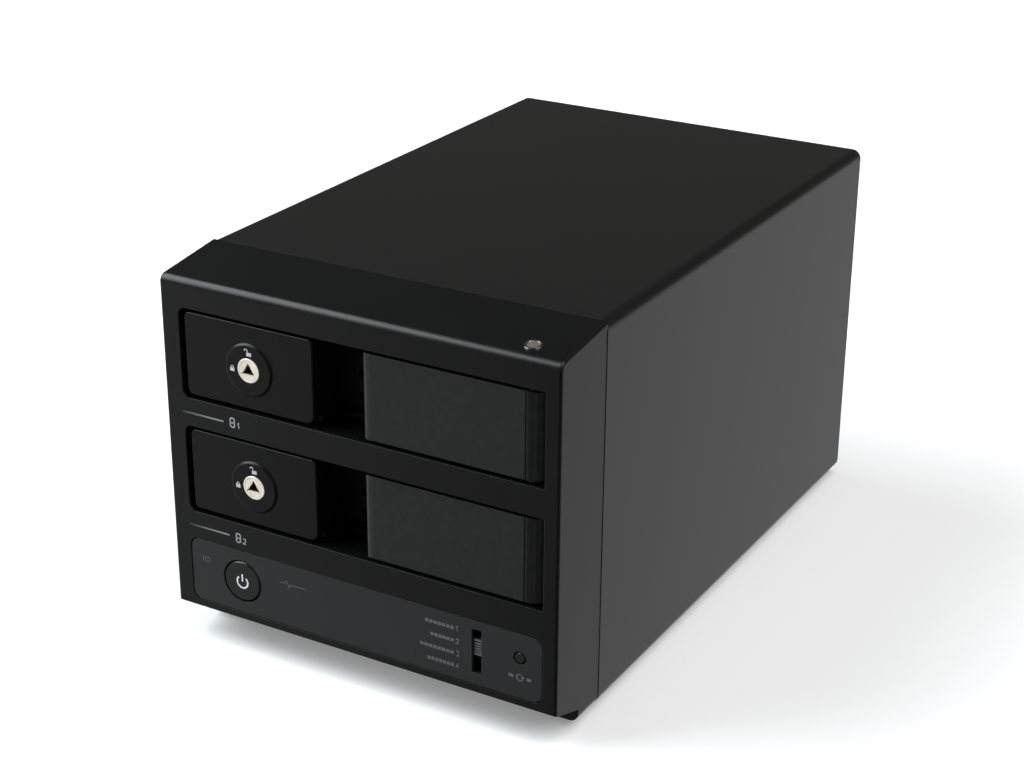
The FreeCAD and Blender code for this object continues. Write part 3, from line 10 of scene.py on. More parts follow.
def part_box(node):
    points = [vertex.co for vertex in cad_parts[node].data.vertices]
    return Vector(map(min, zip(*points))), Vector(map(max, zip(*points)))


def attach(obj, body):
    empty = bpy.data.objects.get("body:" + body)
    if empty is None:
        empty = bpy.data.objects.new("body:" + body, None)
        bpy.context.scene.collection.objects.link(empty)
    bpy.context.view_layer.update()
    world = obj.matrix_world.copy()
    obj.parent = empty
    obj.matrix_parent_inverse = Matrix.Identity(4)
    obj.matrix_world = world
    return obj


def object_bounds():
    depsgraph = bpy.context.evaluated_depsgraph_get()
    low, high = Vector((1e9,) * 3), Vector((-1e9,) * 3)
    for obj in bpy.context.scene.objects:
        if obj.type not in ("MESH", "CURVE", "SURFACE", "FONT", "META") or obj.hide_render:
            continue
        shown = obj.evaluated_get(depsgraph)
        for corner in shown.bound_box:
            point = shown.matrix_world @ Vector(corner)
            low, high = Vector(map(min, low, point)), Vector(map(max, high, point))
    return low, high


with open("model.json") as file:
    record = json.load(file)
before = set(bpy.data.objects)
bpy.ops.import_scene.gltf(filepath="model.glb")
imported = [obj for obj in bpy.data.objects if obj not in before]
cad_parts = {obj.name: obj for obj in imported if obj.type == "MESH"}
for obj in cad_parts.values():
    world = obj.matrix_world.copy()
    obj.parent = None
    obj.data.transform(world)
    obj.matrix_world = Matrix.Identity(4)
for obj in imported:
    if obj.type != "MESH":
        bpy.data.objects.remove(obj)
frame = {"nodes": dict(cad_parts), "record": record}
CAD_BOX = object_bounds()

MM = 0.001
BAYS = (1, 2)
RIGHT, BACK, UP = Vector((1, 0, 0)), Vector((0, 1, 0)), Vector((0, 0, 1))
FRONT = CAD_BOX[0][1]


# ---- shader nodes ----------------------------------------------------------------------------

class Tree:
    """A node tree with the few steps that the world and the finishes share."""

    def __init__(self, tree):
        self.tree = tree

    def add(self, kind, **values):
        node = self.tree.nodes.new(kind)
        for key, value in values.items():
            setattr(node, key, value)
        return node

    def link(self, source, target):
        self.tree.links.new(source, target)

    def fill(self, socket, value):
        """Link a socket, or set its own number or colour."""
        if isinstance(value, bpy.types.NodeSocket):
            self.link(value, socket)
        else:
            socket.default_value = (*value, 1) if isinstance(value, tuple) else value

    def split(self, vector):
        """The X, Y and Z of a vector."""
        node = self.add("ShaderNodeSeparateXYZ")
        self.link(vector, node.inputs[0])
        return node.outputs["X"], node.outputs["Y"], node.outputs["Z"]

    def spread(self, value, low, high, bottom=0.3, top=0.7, **values):
        """Value moved from bottom..top to low..high."""
        ranged = self.add("ShaderNodeMapRange", **values)
        for key, number in (("From Min", bottom), ("From Max", top), ("To Min", low), ("To Max", high)):
            ranged.inputs[key].default_value = number
        self.link(value, ranged.inputs["Value"])
        return ranged.outputs["Result"]

    def ramp(self, value, stops, reach=1.0):
        """Greys or colours at places between -reach and reach."""
        ramp = self.add("ShaderNodeValToRGB")
        elements = ramp.color_ramp.elements
        while len(elements) < len(stops):
            elements.new(0.5)
        for element, (place, tone) in zip(elements, stops):
            element.position = (place + reach) / (2 * reach)
            element.color = (*tone, 1) if isinstance(tone, tuple) else (tone, tone, tone, 1)
        self.link(self.spread(value, 0, 1, -reach, reach), ramp.inputs["Fac"])
        return ramp.outputs["Color"]

    def blend(self, factor, first, second, mode="MIX"):
        """Two colours mixed, or added with mode ADD."""
        mix = self.add("ShaderNodeMix", data_type="RGBA", blend_type=mode)
        self.fill(mix.inputs["Factor"], factor)
        self.fill(mix.inputs["A"], first)
        self.fill(mix.inputs["B"], second)
        return mix.outputs["Result"]


class Finish(Tree):
    """A material with its Principled shader and the textures that most finishes use."""

    def __init__(self, name):
        self.material = bpy.data.materials.new(name)
        self.material.use_nodes = True
        super().__init__(self.material.node_tree)
        self.shader = self.tree.nodes["Principled BSDF"]
        self.place = self.add("ShaderNodeTexCoord").outputs["Object"]

    def put(self, name, value):
        """Set or link one of the shader's sockets."""
        self.fill(self.shader.inputs[name], value)

    def noise(self, scale, detail=4.0, roughness=0.55, stretch=(1, 1, 1)):
        """Values from a noise whose grains are 1 / scale metres, stretched along an axis if asked."""
        mapping = self.add("ShaderNodeMapping")
        mapping.inputs["Scale"].default_value = stretch
        self.link(self.place, mapping.inputs["Vector"])
        texture = self.add("ShaderNodeTexNoise")
        texture.inputs["Scale"].default_value = scale
        texture.inputs["Detail"].default_value = detail
        texture.inputs["Roughness"].default_value = roughness
        self.link(mapping.outputs[0], texture.inputs["Vector"])
        return texture.outputs["Fac"]

    def bump(self, height, depth, strength, below=None):
        """Normals of a fine relief, over other normals if given."""
        bump = self.add("ShaderNodeBump")
        bump.inputs["Distance"].default_value = depth
        bump.inputs["Strength"].default_value = strength
        self.link(height, bump.inputs["Height"])
        if below is not None:
            self.link(below, bump.inputs["Normal"])
        return bump.outputs["Normal"]

    def rounded_edges(self, radius):
        """Normals that turn softly at sharp edges."""
        bevel = self.add("ShaderNodeBevel")
        bevel.samples = 6
        bevel.inputs["Radius"].default_value = radius
        return bevel.outputs["Normal"]


# ---- the studio ------------------------------------------------------------------------------

CAMERA_AZIMUTH, CAMERA_ELEVATION, CAMERA_ROLL = 29.853, 23.195, math.radians(0.401)
CAMERA_DISTANCE = 0.651507
CAMERA_TARGET = Vector((-0.007097, -0.0034, 0.057446))
CAMERA_LENS = 71.774
FILM_WIDTH = 36.0

FLOOR_HALF = 8.0
# The floor's glow close to the object and far away, and the distances between which it rises
FLOOR_GLOW = (0.22, 0.86)
FLOOR_RISE = (0.5, 1.6)
BACKGROUND = (0.90, 0.90, 0.90)

# What glossy surfaces see, by a part of the direction: the room by Z, and below the horizon a floor
# lit from the left by X and from the back by Y
ROOM_TONES = ((0.0, (0.195, 0.190, 0.176)), (0.66, (0.010, 0.010, 0.012)))
GLOW_LEFT = ((-0.70, 0.86), (-0.58, 0.44), (-0.44, 0.20), (-0.20, 0.055))
GLOW_BACK = ((0.0, 0.0), (0.55, 0.49), (0.90, 0.63))
HORIZON = ((-0.12, 0.0), (0.02, 1.0))

# Name, azimuth, elevation, distance, sides, power and colour of each lamp
LAMPS = (
    ("left_window", -66, 41, 1.5, (1.3, 1.2), 34, (0.88, 0.95, 1.0)),
    ("right_fill", 78, 48, 2.2, (1.4, 1.4), 22, (1.0, 1.0, 1.0)),
    ("overhead", 120, 76, 2.4, (1.6, 1.6), 22, (1.0, 1.0, 1.0)),
)


def direction(azimuth, elevation):
    """Unit vector from the object towards a place round it; azimuth 0 is the front, 90 the right."""
    a, e = math.radians(azimuth), math.radians(elevation)
    return Vector((math.sin(a) * math.cos(e), -math.cos(a) * math.cos(e), math.sin(e)))


def make_camera():
    """The main view's camera, level apart from a slight roll."""
    back = direction(CAMERA_AZIMUTH, CAMERA_ELEVATION)
    level = direction(CAMERA_AZIMUTH + 90, 0)
    upright = back.cross(level)
    right = level * math.cos(CAMERA_ROLL) + upright * math.sin(CAMERA_ROLL)
    up = upright * math.cos(CAMERA_ROLL) - level * math.sin(CAMERA_ROLL)
    data = bpy.data.cameras.new("camera")
    data.sensor_width = FILM_WIDTH
    data.lens = CAMERA_LENS
    data.clip_start = 0.01
    data.clip_end = 60
    camera = bpy.data.objects.new("camera", data)
    bpy.context.scene.collection.objects.link(camera)
    turn = Matrix((right, up, back)).transposed().to_4x4()
    camera.matrix_world = Matrix.Translation(CAMERA_TARGET + back * CAMERA_DISTANCE) @ turn
    bpy.context.scene.camera = camera


def soft_light(name, azimuth, elevation, distance, size, power, colour):
    """A square lamp that faces the object."""
    data = bpy.data.lights.new(name, "AREA")
    data.shape = "RECTANGLE"
    data.size, data.size_y = size
    data.energy = power
    data.color = colour
    lamp = bpy.data.objects.new(name, data)
    bpy.context.scene.collection.objects.link(lamp)
    away = direction(azimuth, elevation)
    lamp.location = away * distance
    lamp.rotation_mode = "QUATERNION"
    lamp.rotation_quaternion = away.to_track_quat("Z", "Y")


def make_world():
    """Pale behind the object; to everything else a dim room over a lit floor."""
    world = bpy.data.worlds.new("studio")
    bpy.context.scene.world = world
    world.use_nodes = True
    world.node_tree.nodes.clear()
    nodes = Tree(world.node_tree)
    x, y, z = nodes.split(nodes.add("ShaderNodeTexCoord").outputs["Generated"])
    ground = nodes.blend(1.0, nodes.ramp(x, GLOW_LEFT), nodes.ramp(y, GLOW_BACK), "ADD")
    seen = nodes.blend(nodes.ramp(z, HORIZON), ground, nodes.ramp(z, ROOM_TONES))
    dim = nodes.add("ShaderNodeBackground")
    nodes.fill(dim.inputs["Color"], seen)
    pale = nodes.add("ShaderNodeBackground")
    nodes.fill(pale.inputs["Color"], BACKGROUND)
    choice = nodes.add("ShaderNodeMixShader")
    nodes.link(nodes.add("ShaderNodeLightPath").outputs["Is Camera Ray"], choice.inputs["Fac"])
    nodes.link(dim.outputs[0], choice.inputs[1])
    nodes.link(pale.outputs[0], choice.inputs[2])
    nodes.link(choice.outputs[0], nodes.add("ShaderNodeOutputWorld").inputs["Surface"])


def make_floor():
    """Paper round the object that glows more further away, so that it stays pale to the horizon."""
    mesh = bpy.data.meshes.new("floor")
    h = FLOOR_HALF
    mesh.from_pydata([(-h, -h, 0), (h, -h, 0), (h, h, 0), (-h, h, 0)], [], [(0, 1, 2, 3)])
    floor = bpy.data.objects.new("floor", mesh)
    bpy.context.scene.collection.objects.link(floor)
    paper = Finish("studio_paper")
    distance = paper.add("ShaderNodeVectorMath", operation="LENGTH")
    paper.link(paper.place, distance.inputs[0])
    glow = paper.spread(distance.outputs["Value"], *FLOOR_GLOW, *FLOOR_RISE, interpolation_type="SMOOTHSTEP")
    paper.put("Base Color", (0.86, 0.86, 0.86))
    paper.put("Roughness", 0.9)
    paper.put("Specular IOR Level", 0.1)
    paper.put("Emission Color", (1, 1, 1))
    paper.put("Emission Strength", glow)
    mesh.materials.append(paper.material)
    floor.visible_glossy = False


def make_studio():
    make_camera()
    make_world()
    make_floor()
    for lamp in LAMPS:
        soft_light(*lamp)
    bpy.context.scene.view_settings.view_transform = "Standard"
    bpy.context.scene.view_settings.look = "None"


# ---- finishes --------------------------------------------------------------------------------

# Grey of the door by X in millimetres: lock panel, handle with a painted highlight along its left edge, and
# the hinge end, where light and dark stripes of painted light lighten the barrel as it curves away
DOOR_TONES_AND_PAINTED_LIGHT = ((-58, 0.0016), (2.9, 0.0016), (3.1, 0.030), (4.6, 0.024), (6.2, 0.0138), (53.4, 0.0146),
              (54.6, 0.0070), (56.4, 0.0080), (56.9, 0.0150), (57.5, 0.0075), (58.3, 0.0180),
              (58.8, 0.0075), (59.4, 0.0200))
DOOR_REACH = 0.064
# Share of each light bar's length over which its mask fades out
MASK_SHARE = 0.7
# Depths behind the lock's face between which the plating gives way to brass, tarnished and darkened further as
# painted shade
TARNISH_AND_SHADE_DEPTHS = (0.15 * MM, 0.7 * MM)


def satin(name, dark, light, rough, grain=2600, depth=0.02 * MM, edge=0.25 * MM, metallic=0.0, level=0.5):
    """A moulded or painted surface: fine grain, faint broad variation, softly rounded edges."""
    finish = Finish(name)
    broad = finish.noise(38, detail=5)
    fine = finish.noise(grain, detail=3, roughness=0.6)
    finish.put("Base Color", finish.blend(finish.spread(broad, 0, 1), dark, light))
    finish.put("Roughness", finish.spread(fine, rough - 0.02, rough + 0.03))
    finish.put("Metallic", metallic)
    finish.put("Specular IOR Level", level)
    finish.put("Normal", finish.bump(fine, depth, 0.6, below=finish.rounded_edges(edge)))
    return finish


def brushed(name, dark, light, rough, stretch, metallic=1.0):
    """Metal with fine lines along one axis."""
    finish = Finish(name)
    lines = finish.noise(900, detail=6, roughness=0.7, stretch=stretch)
    broad = finish.noise(60, detail=4)
    finish.put("Base Color", finish.blend(finish.spread(lines, 0, 1), dark, light))
    finish.put("Roughness", finish.spread(broad, rough - 0.05, rough + 0.07))
    finish.put("Metallic", metallic)
    finish.put("Normal", finish.bump(lines, 0.01 * MM, 0.5, below=finish.rounded_edges(0.1 * MM)))
    return finish


def solder_mask(name):
    """Green board with faint copper tracks under the mask."""
    finish = Finish(name)
    bricks = finish.add("ShaderNodeTexBrick")
    bricks.inputs["Scale"].default_value = 260
    bricks.inputs["Mortar Size"].default_value = 0.06
    finish.link(finish.place, bricks.inputs["Vector"])
    tracks = finish.spread(bricks.outputs["Fac"], 0, 1, 0, 1)
    finish.put("Base Color", finish.blend(tracks, (0.012, 0.075, 0.030), (0.025, 0.14, 0.055)))
    finish.put("Normal", finish.bump(bricks.outputs["Fac"], 0.03 * MM, 0.5))
    finish.put("Roughness", 0.32)
    return finish


def light_pipe(name):
    """Grey light pipe under a printed mask that fades out to the right."""
    finish = Finish(name)
    low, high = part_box("light_bars")
    x, _, _ = finish.split(finish.place)
    along = finish.spread(x, 0, 1, low.x, low.x + (high.x - low.x) * MASK_SHARE)
    grain = finish.spread(finish.noise(1800, detail=2), 0.85, 1.0)
    shade = finish.add("ShaderNodeMath", operation="MULTIPLY")
    finish.link(along, shade.inputs[0])
    finish.link(grain, shade.inputs[1])
    finish.put("Base Color", finish.blend(shade.outputs[0], (0.018, 0.018, 0.019), (0.24, 0.245, 0.25)))
    finish.put("Roughness", 0.3)
    return finish


def clear_lens(name):
    """Smooth lens over a warm dark indicator."""
    finish = Finish(name)
    cloud = finish.noise(900, detail=3)
    finish.put("Base Color", finish.blend(finish.spread(cloud, 0, 1), (0.105, 0.090, 0.074),
                                          (0.145, 0.127, 0.108)))
    finish.put("Normal", finish.bump(finish.noise(1500), 0.02 * MM, 0.4))
    finish.put("Roughness", 0.16)
    finish.put("Coat Weight", 0.3)
    return finish


def door_moulding_and_painted_light(name):
    """Door in two finishes: the fine-grained handle is lighter than the lock panel and the hinge end; a
    painted highlight runs along the handle's left edge, and stripes of painted light lighten the hinge end's
    curving barrel.
    """
    plain = (0.0030, 0.0030, 0.0031)
    finish = satin(name, plain, plain, 0.36, edge=0.3 * MM, level=0.30)
    x, _, _ = finish.split(finish.place)
    tones_and_painted_light = finish.ramp(x, [(place * MM, tone) for place, tone in DOOR_TONES_AND_PAINTED_LIGHT], DOOR_REACH)
    scaled = finish.add("ShaderNodeVectorMath", operation="SCALE")
    finish.link(tones_and_painted_light, scaled.inputs[0])
    finish.link(finish.spread(finish.noise(420, detail=5), 0.82, 1.12), scaled.inputs["Scale"])
    # These tones, with the painted highlight and the painted light at the hinge end, take the place of the
    # plain grey
    finish.put("Base Color", scaled.outputs[0])
    return finish


def plated_plug(name):
    """Plated face of the lock's plug, with brass inside the key socket and behind, tarnished and darkened with
    depth as painted shade of the socket.
    """
    finish = brushed(name, (0.66, 0.60, 0.48), (0.82, 0.76, 0.63), 0.38, (1, 1, 0.1), metallic=0.2)
    face = finish.shader.inputs["Base Color"].links[0].from_socket
    _, y, _ = finish.split(finish.place)
    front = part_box("lock_plug_1")[0].y
    deep = finish.spread(y, 0, 1, front + TARNISH_AND_SHADE_DEPTHS[0], front + TARNISH_AND_SHADE_DEPTHS[1])
    cloud = finish.spread(finish.noise(700), 0, 1)
    # Dark brown deeper in: brass tarnish, darkened as painted shade of the key socket's recess
    tarnish_and_shade = finish.blend(cloud, (0.10, 0.065, 0.022), (0.17, 0.115, 0.045))
    finish.put("Base Color", finish.blend(deep, face, tarnish_and_shade))
    return finish


def ink(name, colour, rough=0.55):
    """Pad-printed ink with a slightly uneven film."""
    finish = Finish(name)
    film = finish.noise(2200, detail=3)
    darker = tuple(part * 0.86 for part in colour)
    finish.put("Base Color", finish.blend(finish.spread(film, 0, 1), darker, colour))
    finish.put("Normal", finish.bump(film, 0.01 * MM, 0.4))
    finish.put("Roughness", rough)
    finish.put("Specular IOR Level", 0.3)
    return finish


def make_materials():
    """One finish per material slot of the record, and the extra ones of the pieces made here."""
    made = {
        "satin_black_cover": satin("cover_paint", (0.0030, 0.0030, 0.0031), (0.0036, 0.0036, 0.0037), 0.34,
                                   grain=3200, depth=0.008 * MM, edge=0.05 * MM),
        "black_plastic": satin("bezel_plastic", (0.0028, 0.0028, 0.0028), (0.0036, 0.0036, 0.0036), 0.33,
                               edge=0.3 * MM, level=0.33),
        "door_plastic": door_moulding_and_painted_light("door_plastic"),
        "strip_plastic": satin("strip_plastic", (0.0155, 0.0155, 0.0158), (0.0185, 0.0185, 0.0189), 0.30,
                               edge=0.2 * MM, level=0.4),
        "button_plastic": satin("button_plastic", (0.0052, 0.0052, 0.0052), (0.0066, 0.0066, 0.0066), 0.32,
                                edge=0.3 * MM),
        "knob_plastic": satin("knob_plastic", (0.070, 0.070, 0.073), (0.10, 0.10, 0.105), 0.45,
                              edge=0.1 * MM),
        "light_pipe": light_pipe("light_pipe"),
        "lens": clear_lens("indicator_lens"),
        "ring_chrome": brushed("ring_chrome", (0.62, 0.63, 0.65), (0.78, 0.79, 0.81), 0.16, (1, 1, 1)),
        "lock_nickel": brushed("lock_nickel", (0.74, 0.69, 0.58), (0.88, 0.84, 0.74), 0.33, (1, 1, 0.1),
                               metallic=0.2),
        "lock_brass": plated_plug("lock_brass"),
        "bolt_zinc": brushed("bolt_zinc", (0.45, 0.46, 0.46), (0.62, 0.62, 0.60), 0.36, (0.1, 1, 1)),
        "cage_steel": brushed("cage_steel", (0.42, 0.43, 0.44), (0.60, 0.61, 0.62), 0.42, (1, 0.08, 1)),
        "pin_steel": brushed("pin_steel", (0.50, 0.50, 0.50), (0.66, 0.66, 0.66), 0.28, (1, 1, 0.1)),
        "panel_black": satin("panel_paint", (0.0058, 0.0058, 0.0062), (0.0076, 0.0076, 0.0080), 0.46,
                             grain=2000, edge=0.15 * MM),
        "screw_black": satin("screw_oxide", (0.012, 0.012, 0.013), (0.022, 0.022, 0.023), 0.42,
                             edge=0.15 * MM, metallic=0.7),
        "foot_rubber": satin("foot_rubber", (0.010, 0.010, 0.010), (0.020, 0.020, 0.019), 0.78,
                             grain=1500, depth=0.05 * MM, edge=0.3 * MM, level=0.3),
        "drive_cast": satin("cast_aluminium", (0.36, 0.37, 0.38), (0.48, 0.49, 0.50), 0.48,
                            grain=1400, depth=0.04 * MM, edge=0.3 * MM, metallic=1.0),
        "drive_lid_steel": brushed("drive_lid_steel", (0.52, 0.53, 0.54), (0.68, 0.69, 0.70), 0.34,
                                   (1, 0.08, 1)),
        "board_green": solder_mask("solder_mask"),
        "chip_black": satin("chip_epoxy", (0.012, 0.012, 0.012), (0.020, 0.020, 0.020), 0.55),
        "can_aluminium": brushed("can_aluminium", (0.58, 0.58, 0.58), (0.74, 0.74, 0.74), 0.3, (1, 1, 0.1)),
        "sink_aluminium": brushed("sink_aluminium", (0.10, 0.11, 0.12), (0.17, 0.18, 0.19), 0.4, (1, 0.1, 1)),
        "socket_black": satin("socket_nylon", (0.010, 0.010, 0.010), (0.016, 0.016, 0.016), 0.5,
                              edge=0.15 * MM),
        "port_metal": brushed("port_nickel", (0.52, 0.52, 0.53), (0.70, 0.70, 0.71), 0.28, (1, 0.1, 1)),
        "rail_grey": satin("rail_plastic", (0.024, 0.024, 0.026), (0.034, 0.034, 0.036), 0.5, edge=0.3 * MM),
        "fan_black": satin("fan_plastic", (0.008, 0.008, 0.009), (0.013, 0.013, 0.014), 0.44, edge=0.2 * MM),
        "standoff_brass": brushed("standoff_brass", (0.60, 0.44, 0.20), (0.78, 0.60, 0.32), 0.3, (1, 1, 0.1)),
        "white_ink": ink("white_ink", (0.64, 0.65, 0.66)),
        "pale_ink": ink("pale_ink", (0.47, 0.475, 0.48)),
        "soft_ink": ink("soft_ink", (0.27, 0.27, 0.275)),
        "grey_ink": ink("grey_ink", (0.096, 0.097, 0.099)),
        "dim_ink": ink("dim_ink", (0.076, 0.076, 0.077)),
        "gold": brushed("contact_gold", (0.72, 0.50, 0.18), (0.90, 0.66, 0.28), 0.25, (1, 0.1, 1)),
        "paper": ink("label_paper", (0.62, 0.62, 0.60), 0.6),
        "tin": brushed("tinned_pads", (0.55, 0.56, 0.57), (0.72, 0.73, 0.74), 0.35, (1, 1, 1)),
        "sleeve": satin("capacitor_sleeve", (0.010, 0.014, 0.040), (0.014, 0.020, 0.055), 0.3,
                        edge=0.1 * MM),
        "label_ink": ink("label_ink", (0.020, 0.020, 0.022), 0.6),
        "beige": satin("capacitor_ceramic", (0.34, 0.24, 0.14), (0.44, 0.32, 0.20), 0.5, edge=0.05 * MM),
    }
    return {slot: finish.material for slot, finish in made.items()}


def paint_frame(materials):
    """Every CAD node gets the finish of its slot."""
    for entry in frame["record"]["subparts"]:
        mesh = frame["nodes"][entry["node"]].data
        mesh.materials.clear()
        mesh.materials.append(materials[entry["material_slot"]])


# ---- mesh helpers ----------------------------------------------------------------------------

def piece(name, bm, material, body, bevel=0.0):
    """A finished mesh that rides on a CAD body."""
    bmesh.ops.recalc_face_normals(bm, faces=bm.faces)
    mesh = bpy.data.meshes.new(name)
    bm.to_mesh(mesh)
    bm.free()
    thing = bpy.data.objects.new(name, mesh)
    bpy.context.scene.collection.objects.link(thing)
    mesh.materials.append(material)
    if bevel:
        soft = thing.modifiers.new("soft", "BEVEL")
        soft.width = bevel
        soft.segments = 2
        soft.limit_method = "ANGLE"
    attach(thing, body)


def centre_of(node):
    low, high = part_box(node)
    return (low + high) / 2


def stroke(points, width, closed=False):
    """Quads that follow a line of 2-D points at an even width, mitred at the corners."""
    count = len(points)
    sides = []
    for i, point in enumerate(points):
        before = points[i - 1] if closed or i else point
        after = points[(i + 1) % count] if closed or i < count - 1 else point
        into = (Vector(point) - Vector(before)).normalized() if before != point else None
        out = (Vector(after) - Vector(point)).normalized() if after != point else None
        into = into or out
        out = out or into
        normal = (Vector((-into.y, into.x)) + Vector((-out.y, out.x))).normalized()
        reach = width / 2 / max(0.4, normal.dot(Vector((-out.y, out.x))))
        sides.append((Vector(point) + normal * reach, Vector(point) - normal * reach))
    steps = range(count if closed else count - 1)
    return [(sides[i][0], sides[(i + 1) % count][0], sides[(i + 1) % count][1], sides[i][1]) for i in steps]


def arc(centre, radius, start, end, count):
    """2-D points round a circle between two angles in degrees."""
    turns = [math.radians(start + (end - start) * i / count) for i in range(count + 1)]
    return [(centre[0] + radius * math.cos(turn), centre[1] + radius * math.sin(turn)) for turn in turns]


def bar(u, v):
    """One quad between limits."""
    return [((u[0], v[0]), (u[1], v[0]), (u[1], v[1]), (u[0], v[1]))]


def rounded_outline(u, v, radius, count=6):
    """Outline of a rectangle with round corners."""
    corners = (((u[1] - radius, v[1] - radius), 0), ((u[0] + radius, v[1] - radius), 90),
               ((u[0] + radius, v[0] + radius), 180), ((u[1] - radius, v[0] + radius), 270))
    return [point for centre, turn in corners for point in arc(centre, radius, turn, turn + 90, count)]


def film(polygons, plane, thickness):
    """Thin plates over 2-D polygons in millimetres; a plane is its origin, its right and its up."""
    origin, right, up = plane
    out = right.cross(up) * thickness
    bm = bmesh.new()
    for polygon in polygons:
        low = [bm.verts.new(origin + (right * point[0] + up * point[1]) * MM) for point in polygon]
        high = [bm.verts.new(vert.co + out) for vert in low]
        bm.faces.new(high)
        bm.faces.new(list(reversed(low)))
        for i in range(len(low)):
            after = (i + 1) % len(low)
            bm.faces.new((low[i], low[after], high[after], high[i]))
    return bm


def boxes(name, limits, material, body, bevel=0.0):
    """One piece made of many small cuboids, each between two corners."""
    bm = bmesh.new()
    for low, high in limits:
        corners = [bm.verts.new((x, y, z)) for z in (low[2], high[2]) for y in (low[1], high[1])
                   for x in (low[0], high[0])]
        for face in ((0, 1, 3, 2), (4, 6, 7, 5), (0, 4, 5, 1), (1, 5, 7, 3), (3, 7, 6, 2), (2, 6, 4, 0)):
            bm.faces.new([corners[i] for i in face])
    piece(name, bm, material, body, bevel)


def lathes(name, places, profile, material, body, count):
    """One piece of turned forms that stand up from their places; a profile is (height, radius) pairs."""
    bm = bmesh.new()
    side = UP.orthogonal().normalized()
    other = UP.cross(side)
    for place in places:
        rings = []
        for height, radius in profile:
            turns = [2 * math.pi * i / count for i in range(count)]
            rings.append([bm.verts.new(place + UP * height * MM + (
                side * math.cos(turn) + other * math.sin(turn)) * radius * MM) for turn in turns])
        for lower, upper in zip(rings, rings[1:]):
            for i in range(count):
                after = (i + 1) % count
                bm.faces.new((lower[i], lower[after], upper[after], upper[i]))
        bm.faces.new(list(reversed(rings[0])))
        bm.faces.new(rings[-1])
    piece(name, bm, material, body)


# ---- printing --------------------------------------------------------------------------------

# A print is a film of ink sunk a little into its surface. Places and sizes of prints are in millimetres,
# to the right of and above the centre of the sub-part that each belongs to; the bay marks are to the
# right of the front's middle, and a little above or below the end of their light bar.
INK_FILM = 0.03 * MM
INK_SUNK = 0.3 * INK_FILM
NUMBER_LINE = 0.34
FINE_LINE = 0.32

OPEN_PADLOCK, CLOSED_PADLOCK = (0.5, 5.3), (-5.5, -0.3)
DRIVE_SYMBOL, BAY_NUMBER = (-41.3, 0.1), (-39.1, -0.5)
ON_BAR, ON_RING = -14.1, -12.6
ON_LEVEL = 3.9
PULSE = ((13.6, 3.6), (15.2, 3.6), (16.0, 4.5), (17.0, 2.7), (17.8, 3.6), (22.6, 3.6))
CYCLE_LEVEL = -6.1
# Dashes of each selector row: count and length
SELECTOR_ROWS = ((7, 1.08), (6, 1.02), (8, 1.12), (7, 0.98))
ROW_TOP, ROW_STEP = 4.5, 3.95
ROW_NUMBER, ROW_END = -6.2, -7.4
DASH_HEIGHT, DASH_GAP = 1.05, 0.3
# Signs at the back: height over the data socket, and place of the padlock by the security slot, from the
# middle and the floor
SIGN_LIFT = 9.0
SLOT_SIGN = (53.5, 21.5)


def front_print(name, polygons, at, material, body="housing"):
    """Ink on a surface that faces the front."""
    piece(name, film(polygons, (at + BACK * INK_SUNK, RIGHT, UP), INK_FILM), material, body)


def rear_print(name, polygons, x, z, material):
    """Ink on the rear panel, read from behind."""
    at = Vector((x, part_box("rear_panel")[1].y - INK_SUNK, z))
    piece(name, film(polygons, (at, -RIGHT, UP), INK_FILM), material, "housing")


def padlock(centre, size, is_open):
    """A small padlock: filled body with a shackle, swung up and aside when open."""
    u, v = centre
    radius, foot = size * 0.31, v + size * 0.1
    shift = size * 0.62 if is_open else 0.0
    lift = size * 0.22 if is_open else 0.0
    shackle = [(u - shift + radius, foot), *arc((u - shift, v + size * 0.2 + lift), radius, 0, 180, 10)]
    if not is_open:
        shackle.append((u - radius, foot))
    body = bar((u - size / 2, u + size / 2), (v - size * 0.55, v + size * 0.15))
    return body + stroke(shackle, size * 0.17)


def drive_symbol(centre):
    """Two drives on top of each other: a tall rounded box with a bar across its middle."""
    u, v = centre
    box = rounded_outline((u - 0.72, u + 0.72), (v - 1.4, v + 1.4), 0.6, 5)
    return stroke(box, 0.46, closed=True) + bar((u - 0.6, u + 0.6), (v - 0.3, v + 0.16))


def numeral(number, centre, tall):
    """The numbers one to four drawn with strokes."""
    u, v = centre
    w, t = tall * 0.28, tall / 2
    lines = {
        1: [[(u - w, v + t * 0.5), (u, v + t), (u, v - t)]],
        2: [arc((u, v + t * 0.45), w, 160, -40, 8) + [(u - w, v - t), (u + w, v - t)]],
        3: [arc((u, v + t * 0.48), w, 150, -80, 8), arc((u, v - t * 0.48), w, 80, -150, 8)],
        4: [[(u + w * 0.4, v - t), (u + w * 0.4, v + t), (u - w, v - t * 0.35), (u + w, v - t * 0.35)]],
    }
    return [quad for line in lines[number] for quad in stroke(line, NUMBER_LINE)]


def dashes(right, level, count, long):
    """A broken rule that ends at its right-hand end."""
    ends = [right - step * (long + DASH_GAP) for step in range(count)]
    return [quad for end in ends
            for quad in bar((end - long, end), (level - DASH_HEIGHT / 2, level + DASH_HEIGHT / 2))]


def text_rules(left, ends, top, step, thick):
    """Rules in place of lines of print, each from the left to its own end."""
    return [quad for i, end in enumerate(ends)
            for quad in bar((left, end), (top - step * i, top - step * i + thick))]


def print_door(bay, material):
    """Two small padlocks on the disc round the lock: open at the top, closed at the left."""
    lock = centre_of(f"lock_barrel_{bay}")
    at = Vector((lock.x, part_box(f"door_panel_{bay}")[0].y, lock.z))
    front_print(f"open_padlock_{bay}", padlock(OPEN_PADLOCK, 1.6, True), at, material, f"door_{bay}")
    front_print(f"closed_padlock_{bay}", padlock(CLOSED_PADLOCK, 1.5, False), at, material, f"door_{bay}")


